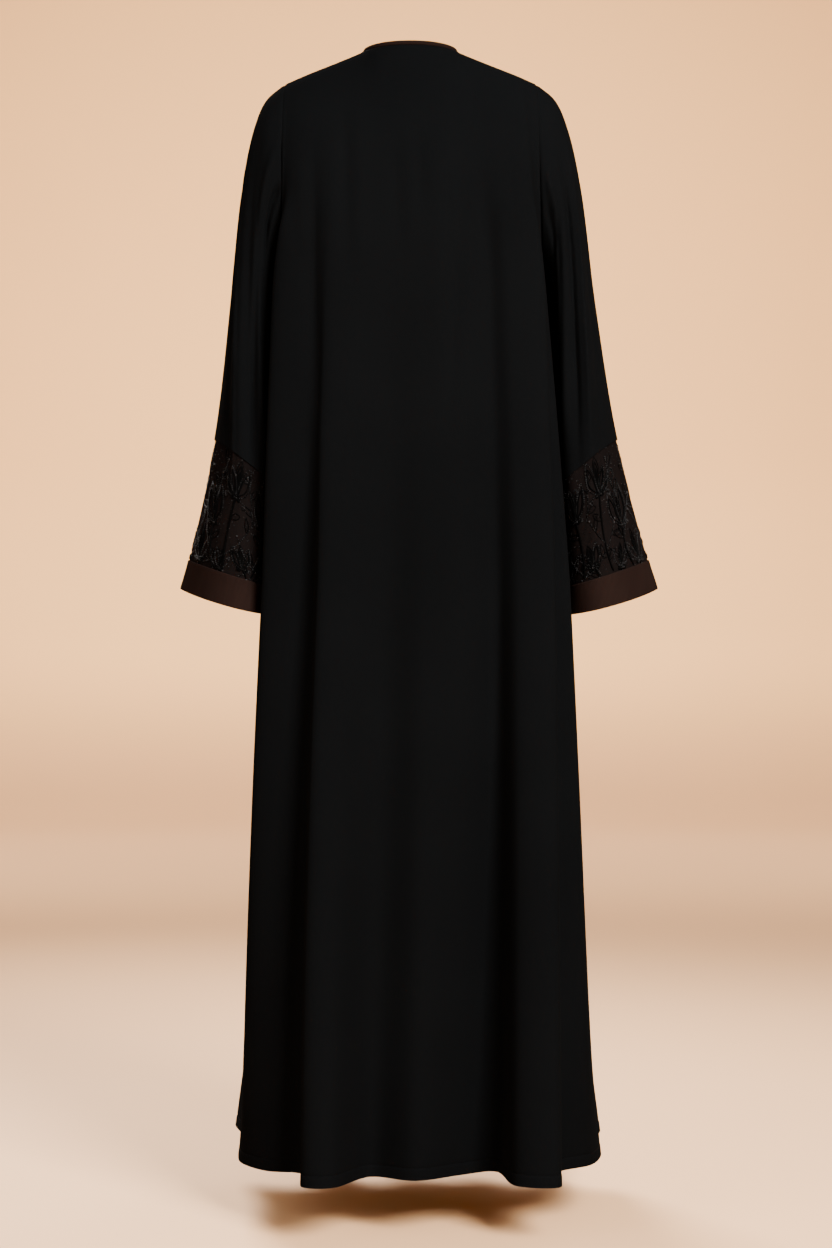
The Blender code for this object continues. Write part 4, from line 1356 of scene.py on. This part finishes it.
# Each shader group: what fills it, its inputs with their defaults, and the kinds of its outputs
Group = namedtuple("Group", "fill inputs outputs")
GROUPS = {
    "Cloth tone": Group(
        cloth_tone,
        {
            "Place": None, "Dark": (0, 0, 0, 1), "Light": (0.1, 0.1, 0.1, 1),
            "Patch size": 6.0, "Smoothest": 0.6, "Roughest": 0.8,
        },
        {"Color": "Color", "Roughness": "Float"},
    ),
    "Crepe pebble": Group(
        crepe_pebble,
        {"Place": None, "Grain depth": 0.00012, "Crinkle depth": 0.0004},
        {"Normal": "Vector"},
    ),
    "Plain weave": Group(
        plain_weave,
        {"Map": None, "Threads": 900.0, "Unevenness": 0.0006},
        {"Height": "Float", "Gaps": "Float", "Streaks": "Float"},
    ),
    "Cord twist": Group(cord_twist, {"Map": None, "Turns": 700.0}, {"Height": "Float"}),
}


def new_group(name):
    """A new shader node group with named sockets. An input without a default is a vector."""
    tree = bpy.data.node_groups.new(name, "ShaderNodeTree")
    fill, inputs, outputs = GROUPS[name]

    def socket(label, kind, way):
        return tree.interface.new_socket(name=label, in_out=way, socket_type=f"NodeSocket{kind}")

    for label, default in inputs.items():
        kind = "Float" if isinstance(default, float) else "Vector" if default is None else "Color"
        made = socket(label, kind, "INPUT")
        if default is not None:
            made.default_value = default
    for label, kind in outputs.items():
        socket(label, kind, "OUTPUT")
    given = tree.nodes.new("NodeGroupInput").outputs
    feed(tree, tree.nodes.new("NodeGroupOutput"), fill(tree, given))
    return tree


def grouped(tree, name, inputs):
    """The outputs of a shader group placed in a material."""
    return add(tree, "Group", inputs, node_tree=bpy.data.node_groups.get(name) or new_group(name))


def tinted(colour, factor=1.0):
    """A colour made darker or lighter, with its alpha."""
    return (*[channel * factor for channel in colour], 1.0)


def toned(tree, place, tone, shade, roughness=0.0):
    """The shader's colour and roughness, varied by a tone. shade gives the colour at a factor."""
    inputs = {
        "Place": place, "Dark": shade(tone.dark), "Light": shade(tone.light),
        "Patch size": tone.patches,
        "Smoothest": roughness + tone.smoothest, "Roughest": roughness + tone.roughest,
    }
    varied = grouped(tree, "Cloth tone", inputs)
    return {"Base Color": varied["Color"], "Roughness": varied["Roughness"]}


def object_place(tree):
    return add(tree, "TexCoord")["Object"]


def surface_map(tree, name):
    return add(tree, "UVMap", uv_map=name)["UV"]


def painted_glint_and_tone_of(tree):
    """Each bead's value for its painted glint, which for a stitch sets its random tone."""
    return add(tree, "Attribute", attribute_type="GEOMETRY", attribute_name="shine")["Fac"]


def crepe(tree, finish):
    """Matt black crepe: near black, finely pebbled, with a slight bloom at grazing angles."""
    place = object_place(tree)
    shade = functools.partial(tinted, finish.crepe_colour)
    pebble = {"Place": place, "Grain depth": 0.00007, "Crinkle depth": 0.00010}
    return {
        **toned(tree, place, CREPE_TONE, shade, finish.crepe_roughness),
        "Normal": grouped(tree, "Crepe pebble", pebble)["Normal"],
        "Specular IOR Level": 0.0, "Sheen Weight": finish.crepe_sheen, "Sheen Roughness": 0.45,
        "Sheen Tint": (0.55, 0.50, 0.48, 1.0),
    }


def woven(tree, colour, roughness, threads):
    """Brown woven cloth, its threads along the piece's own map, and the outputs of its weave."""
    weave = grouped(tree, "Plain weave", {"Map": surface_map(tree, "Cloth"), "Threads": threads})
    shade = functools.partial(tinted, colour)
    tone = toned(tree, object_place(tree), WOVEN_TONE, shade, roughness)
    darkest, lightest = STREAK_SHADES
    streaks = {"Value": weave["Streaks"], "To Min": darkest, "To Max": lightest}
    streaked = {0: tone["Base Color"], "Scale": add(tree, "MapRange", streaks)["Result"]}
    bump = {"Height": weave["Height"], "Distance": 0.00012, "Strength": 0.8}
    sockets = {
        "Base Color": computed_vector(tree, "SCALE", streaked),
        "Roughness": tone["Roughness"], "Normal": add(tree, "Bump", bump)["Normal"],
        "Specular IOR Level": 0.0, "Sheen Weight": 0.004, "Sheen Roughness": 0.35,
        "Sheen Tint": (0.80, 0.62, 0.55, 1.0),
    }
    return sockets, weave


def organza(tree, finish):
    """Dark brown sheer cloth, whose open weave lets a little light through."""
    sockets, weave = woven(tree, finish.organza_colour, finish.organza_roughness, ORGANZA_THREADS)
    solid = {"Value": weave["Gaps"], "To Min": 1.0, "To Max": finish.organza_alpha}
    return {**sockets, "Alpha": add(tree, "MapRange", solid)["Result"]}


def satin(tree, finish):
    """Dark brown closed cloth with a soft shine."""
    return woven(tree, finish.satin_colour, finish.satin_roughness, SATIN_THREADS)[0]


def cord(tree, finish):
    """Matt black twisted cord."""
    tone = toned(tree, object_place(tree), CORD_TONE, functools.partial(tinted, finish.cord_colour))
    twist = grouped(tree, "Cord twist", {"Map": surface_map(tree, "Cord")})
    bump = add(tree, "Bump", {"Height": twist["Height"], "Distance": 0.00025, "Strength": 0.9})
    return {**tone, "Normal": bump["Normal"], "Specular IOR Level": 0.005}


def jet(tree, finish):
    """Jet beads, of which some have a painted glint: a much lighter base colour in place of a highlight.
    """
    painted_glint_range = {"Value": painted_glint_and_tone_of(tree), "From Min": 1 - finish.painted_glint_share, "To Max": 1.0}
    painted_glint = add(tree, "MapRange", painted_glint_range)["Result"]
    # A bead's value in that range mixes its colour towards the painted glint colour
    ends = tinted(finish.bead_colour), tinted(finish.painted_glint_colour)
    return {
        "Base Color": mixed(tree, painted_glint, *ends),
        "Specular IOR Level": 0.02, "Roughness": 0.30, "Coat Weight": 0.04,
    }


def thread(tree, finish):
    """Black sewing thread, a little lighter than the cloth."""
    ends = [tinted(finish.thread_colour, factor) for factor in THREAD_SHADES]
    shades = mixed(tree, painted_glint_and_tone_of(tree), *ends)
    return {"Base Color": shades, "Specular IOR Level": 0.01, "Roughness": 0.55}


def pale(tree, settings):
    """The plain pale floor and surround, very slightly mottled, with the floor painted darker than
    the walls: a painted shade that evens out the stronger light falling on the floor.
    """
    place = object_place(tree)
    height = add(tree, "SeparateXYZ", {"Vector": place})["Z"]
    low, high = (settings.floor_height + share for share in SURROUND_SHADE_FADE)
    fade = {"Value": height, "From Min": low, "From Max": high}
    # The floor's painted shade fades into the walls' colour up the cove
    floor_shade_fade = add(tree, "MapRange", fade, interpolation_type="SMOOTHSTEP")["Result"]

    def shade(factor):
        colours = settings.shaded_floor_colour, settings.surround_colour
        return mixed(tree, floor_shade_fade, *(tinted(colour, factor) for colour in colours))

    return {**toned(tree, place, STUDIO_TONE, shade), "Specular IOR Level": 0.1}


# What gives each material its shader's inputs, and the settings that it reads
SURFACES = {
    "Black crepe": (crepe, "abaya_cloth"),
    "Dark brown organza": (organza, "abaya_cloth"),
    "Dark brown satin": (satin, "abaya_cloth"),
    "Black cord": (cord, "abaya_beadwork"),
    "Jet beads": (jet, "abaya_beadwork"),
    "Black thread": (thread, "abaya_beadwork"),
    "Pale studio": (pale, "abaya_studio"),
}


def material(name):
    """The material of a name, made when it is first asked for."""
    if name not in bpy.data.materials:
        made = bpy.data.materials.new(name)
        made.use_nodes = True
        tree = made.node_tree
        shader = next(found for found in tree.nodes if found.type == "BSDF_PRINCIPLED")
        surface, settings = SURFACES[name]
        feed(tree, shader, surface(tree, getattr(bpy.context.scene, settings)))
    return bpy.data.materials[name]


# ---- what a user may change

LENGTH_UNIT = {"min": 0, "precision": 4, "unit": "LENGTH"}
SHARE_UNIT = {"min": 0, "max": 1, "subtype": "FACTOR"}
COLOUR_UNIT = {"min": 0, "max": 1, "subtype": "COLOR"}


def number_property(name, description, default, **limits):
    return bpy.props.FloatProperty(name=name, description=description, default=default, **limits)


def length_property(name, description, default):
    return number_property(name, description, default, **LENGTH_UNIT)


def share_property(name, description, default):
    return number_property(name, description, default, **SHARE_UNIT)


def colour_property(name, description, *default):
    return bpy.props.FloatVectorProperty(
        name=name, description=description, default=default, size=3, **COLOUR_UNIT
    )


class AbayaCloth(bpy.types.PropertyGroup):
    """Sizes and finishes of the cloth pieces."""

    facet: length_property("Facet", "Width of a facet round the hem", 0.0075)
    crepe_thickness: length_property("Crepe thickness", "Wall of the black pieces", 0.0016)
    organza_thickness: length_property("Organza thickness", "Wall of the sheer panels", 0.0012)
    band_thickness: length_property("Band thickness", "Wall of the doubled cuff bands", 0.0016)
    crepe_colour: colour_property("Crepe colour", "Black of body and sleeves", 0.00156, 0.00174, 0.00190)
    crepe_roughness: share_property("Crepe roughness", "Mean roughness of the crepe", 0.70)
    crepe_sheen: share_property("Crepe sheen", "Bloom of the crepe at grazing angles", 0.004)
    organza_colour: colour_property("Organza colour", "Brown of the sheer panels", 0.0027, 0.0021, 0.0020)
    organza_roughness: share_property("Organza roughness", "Mean roughness of the sheer panels", 0.62)
    organza_alpha: share_property("Organza closeness", "Light that the gaps in its weave stop", 0.90)
    satin_colour: colour_property("Satin colour", "Brown of bands and binding", 0.0060, 0.0035, 0.0029)
    satin_roughness: share_property("Satin roughness", "Mean roughness of the bands and the binding", 0.62)


class AbayaBeadwork(bpy.types.PropertyGroup):
    """Sizes and finishes of the cords, beads and stitches."""

    cord_width: length_property("Cord width", "Width of the laid cord", 0.0018)
    bead_size: length_property("Bead size", "Diameter of a bead", 0.0020)
    bead_step: length_property("Bead step", "From one bead to the next along a stem", 0.0028)
    cord_colour: colour_property("Cord colour", "Black of the cord", 0.0006, 0.0006, 0.0006)
    bead_colour: colour_property("Bead colour", "Black of the beads", 0.0012, 0.0012, 0.0013)
    # The bright bead colour is a painted glint: a much lighter base colour that stands in for highlights
    # on some beads
    painted_glint_colour: colour_property("Painted glint colour", "Beads in the light", 0.022, 0.0226, 0.024)
    # The share of the beads that get that painted glint colour
    painted_glint_share: share_property("Painted glint share", "Share of the beads that catch the light", 0.40)
    thread_colour: colour_property("Thread colour", "Black of the sewing thread", 0.0021, 0.0021, 0.0022)


class AbayaStudio(bpy.types.PropertyGroup):
    """Floor, lights and camera."""

    floor_height: number_property("Floor height", "Height of the floor", -1.521, unit="LENGTH")
    # The floor colour is darker than the walls' as painted shade that evens out the stronger light on the
    # floor
    shaded_floor_colour: colour_property("Floor colour", "Pale floor", 0.54, 0.315, 0.16)
    surround_colour: colour_property("Surround colour", "Pale walls", 0.97, 0.57, 0.24)
    key_power: number_property("Key light", "Power of each key light", 205.0, unit="POWER")
    fill_power: number_property("Fill light", "Power of each fill light", 24.0, unit="POWER")
    wash_power: number_property("Wash light", "Power of each light on the walls", 150.0, unit="POWER")
    sky_light: share_property("Sky light", "Strength of the even light from all round", 0.85)
    lens: number_property("Lens", "Focal length in millimetres", 79.8, min=1)


# ---- operators


@functools.lru_cache(maxsize=2)
def cloak_grids(facet):
    """The plain grids of the body panels, worked out once for all the operators."""
    return body_grids(facet)


def panel_grids():
    """Those grids at the present width of a facet."""
    return cloak_grids(round(bpy.context.scene.abaya_cloth.facet, 6))


def hang(name, slot, grid, thickness, surface, cut, **rest):
    """Make one piece of cloth in the place of its solid; its cut is not used."""
    piece = carried(cloth(f"{name}_cloth", grid, thickness, material(surface)), name)


def hang_on_sleeves(part, slot, thickness, surface, cut):
    """Make the same piece of both sleeves."""
    for hand in HANDS:
        grid = sleeve_pieces(hand, panel_grids())[part]
        hang(f"{part}_{hand}", slot, grid, thickness, surface, cut)


class ABAYA_OT_studio(bpy.types.Operator):
    """Add the pale floor and surround, the soft lights and the camera"""

    bl_idname = "abaya.studio"
    bl_label = "Studio"

    def execute(self, context):
        settings = context.scene.abaya_studio
        self.surround(settings.floor_height)
        for light in LIGHTS:
            self.light(light, getattr(settings, light.power) * light.share)
        world = bpy.data.worlds.new("Even light")
        world.use_nodes = True
        sky = next(found for found in world.node_tree.nodes if found.type == "BACKGROUND")
        feed(world.node_tree, sky, {"Color": SKY_COLOUR, "Strength": settings.sky_light})
        context.scene.world = world
        self.camera(context.scene, settings.lens)
        return {"FINISHED"}

    def surround(self, floor_height):
        clear_selection()
        radius = SURROUND[0][0]
        bpy.ops.mesh.primitive_circle_add(
            vertices=SURROUND_SIDES, radius=radius, fill_type="NGON", location=(0, 0, floor_height)
        )
        floor = bpy.context.object
        floor.name = "studio_surround"
        bpy.ops.object.transform_apply(location=True, rotation=False, scale=False)
        bpy.ops.object.mode_set(mode="EDIT")
        bpy.ops.mesh.select_all(action="SELECT")
        for (radius, height), (next_radius, next_height) in zip(SURROUND, SURROUND[1:]):
            bpy.ops.mesh.region_to_loop()
            rise = {"value": (0, 0, next_height - height)}
            bpy.ops.mesh.extrude_edges_move(TRANSFORM_OT_translate=rise)
            wider = next_radius / radius
            bpy.ops.transform.resize(value=(wider, wider, 1))
        bpy.ops.mesh.select_all(action="SELECT")
        bpy.ops.mesh.normals_make_consistent(inside=True)
        bpy.ops.object.mode_set(mode="OBJECT")
        floor.data.shade_smooth()
        floor.data.materials.append(material("Pale studio"))

    def light(self, light, power):
        clear_selection()
        bpy.ops.object.light_add(type="AREA", location=light.place)
        lamp = bpy.context.object
        lamp.name = light.name
        lamp.data.shape = "RECTANGLE"
        lamp.data.size, lamp.data.size_y = light.width, light.height
        lamp.data.energy = power
        lamp.data.color = light.colour
        lamp.data.spread = LIGHT_SPREAD
        towards = Vector(light.aim) - Vector(light.place)
        lamp.rotation_euler = towards.to_track_quat("-Z", "Y").to_euler()

    def camera(self, scene, lens):
        clear_selection()
        bpy.ops.object.camera_add(location=CAMERA_PLACE, rotation=(math.pi / 2, 0, math.pi))
        scene.camera = bpy.context.object
        scene.camera.data.lens = lens
        scene.camera.data.sensor_width = CAMERA_SENSOR


class ABAYA_OT_body(bpy.types.Operator):
    """Make the back and the two fronts"""

    bl_idname = "abaya.body"
    bl_label = "Body"

    def execute(self, context):
        wall = context.scene.abaya_cloth.crepe_thickness
        for name, (grid, _) in panel_grids().items():
            hang(name, "black_crepe", sewn_body(name, grid), wall, "Black crepe", BODY_CUTS[name])
        return {"FINISHED"}


class ABAYA_OT_sleeves(bpy.types.Operator):
    """Make the two black upper sleeves"""

    bl_idname = "abaya.sleeves"
    bl_label = "Upper sleeves"

    def execute(self, context):
        wall = context.scene.abaya_cloth.crepe_thickness
        hang_on_sleeves("sleeve", "black_crepe", wall, "Black crepe", SLEEVE_CUT)
        return {"FINISHED"}


class ABAYA_OT_sleeve_panels(bpy.types.Operator):
    """Make the sheer panels of the sleeves"""

    bl_idname = "abaya.sleeve_panels"
    bl_label = "Sheer panels"

    def execute(self, context):
        wall = context.scene.abaya_cloth.organza_thickness
        hang_on_sleeves("sleeve_panel", "dark_brown_organza", wall, "Dark brown organza", PANEL_CUT)
        return {"FINISHED"}


class ABAYA_OT_cuff_bands(bpy.types.Operator):
    """Make the plain bands at the ends of the sleeves"""

    bl_idname = "abaya.cuff_bands"
    bl_label = "Cuff bands"

    def execute(self, context):
        wall = context.scene.abaya_cloth.band_thickness
        hang_on_sleeves("cuff_band", "dark_brown_satin", wall, "Dark brown satin", BAND_CUT)
        return {"FINISHED"}


class ABAYA_OT_neck_binding(bpy.types.Operator):
    """Make the binding that folds over the neck edge"""

    bl_idname = "abaya.neck_binding"
    bl_label = "Neck binding"

    def execute(self, context):
        grid = binding_grid(panel_grids())
        hang(
            "neck_binding", "dark_brown_satin", grid, None, "Dark brown satin", BINDING_CUT,
            rests_on=["back_cloth"],
        )
        return {"FINISHED"}


class ABAYA_OT_embroidery(bpy.types.Operator):
    """Lay the corded and beaded flowers on the sheer panels"""

    bl_idname = "abaya.embroidery"
    bl_label = "Embroidery"

    def execute(self, context):
        bead = bead_shape(*BEAD_FACES, 1)
        draws = np.random.default_rng(SCATTER)
        for hand in HANDS:
            panel = sleeve_pieces(hand, panel_grids())["sleeve_panel"][:-TUCKED_ROWS]
            work = Embroidery(panel, hand == "right", context.scene.abaya_beadwork)
            for spray in SPRAYS[hand]:
                work.spray(spray)
            for branch in BRANCHES[hand]:
                work.branch(branch)
            work.seeds(draws)
            cords = cord_mesh(f"embroidery_cord_{hand}", work.strands)
            carried(linked(cords, material("Black cord")))
            beads = bead_mesh(f"embroidery_beads_{hand}", bead, work.beads, draws)
            carried(linked(beads, material("Jet beads")))
        return {"FINISHED"}


class ABAYA_OT_stitching(bpy.types.Operator):
    """Sew the lines of stitches along the hem, the neck and the front edge"""

    bl_idname = "abaya.stitching"
    bl_label = "Stitching"

    def execute(self, context):
        places = []
        for name, (grid, top) in panel_grids().items():
            sewn = sewn_body(name, grid)
            tops = with_seam_lines(top, 0)
            by_neck = [column for column, at in enumerate(tops) if abs(at) < NECK_POINT]
            places.append(stitches(*seam_line(sewn, -HEM_DEPTH, range(len(tops)))))
            places.append(stitches(*seam_line(sewn, NECK_STITCH_DEPTH, by_neck)))
            if name == "front_left":
                places.append(stitches(*edge_line(sewn, FRONT_EDGE_DEPTH)))
        shape = bead_shape(*STITCH_FACES, STITCH_LENGTH / STITCH_WIDTH)
        mesh = bead_mesh("stitching", shape, places, np.random.default_rng(SCATTER))
        carried(linked(mesh, material("Black thread")))
        return {"FINISHED"}


OPERATORS = (
    ABAYA_OT_studio,
    ABAYA_OT_body,
    ABAYA_OT_sleeves,
    ABAYA_OT_sleeve_panels,
    ABAYA_OT_cuff_bands,
    ABAYA_OT_neck_binding,
    ABAYA_OT_embroidery,
    ABAYA_OT_stitching,
)
SETTINGS = {"abaya_cloth": AbayaCloth, "abaya_beadwork": AbayaBeadwork, "abaya_studio": AbayaStudio}


class ABAYA_PT_cloak(bpy.types.Panel):
    """Lists the cloak's sizes, finishes and operators"""

    bl_idname = "ABAYA_PT_cloak"
    bl_label = "Abaya cloak"
    bl_space_type = "VIEW_3D"
    bl_region_type = "UI"
    bl_category = "Abaya"

    def draw(self, context):
        for name, group in SETTINGS.items():
            box = self.layout.box()
            for label in group.__annotations__:
                box.prop(getattr(context.scene, name), label)
        for operator in OPERATORS:
            self.layout.operator(operator.bl_idname)


CLASSES = (*SETTINGS.values(), *OPERATORS, ABAYA_PT_cloak)


def register():
    for group in CLASSES:
        bpy.utils.register_class(group)
    for name, group in SETTINGS.items():
        setattr(bpy.types.Scene, name, bpy.props.PointerProperty(type=group))


def unregister():
    for name in SETTINGS:
        delattr(bpy.types.Scene, name)
    for group in reversed(CLASSES):
        bpy.utils.unregister_class(group)


def main():
    register()
    for operator in OPERATORS:
        _, name = operator.bl_idname.split(".")
        getattr(bpy.ops.abaya, name)()


if __name__ == "__main__":
    main()
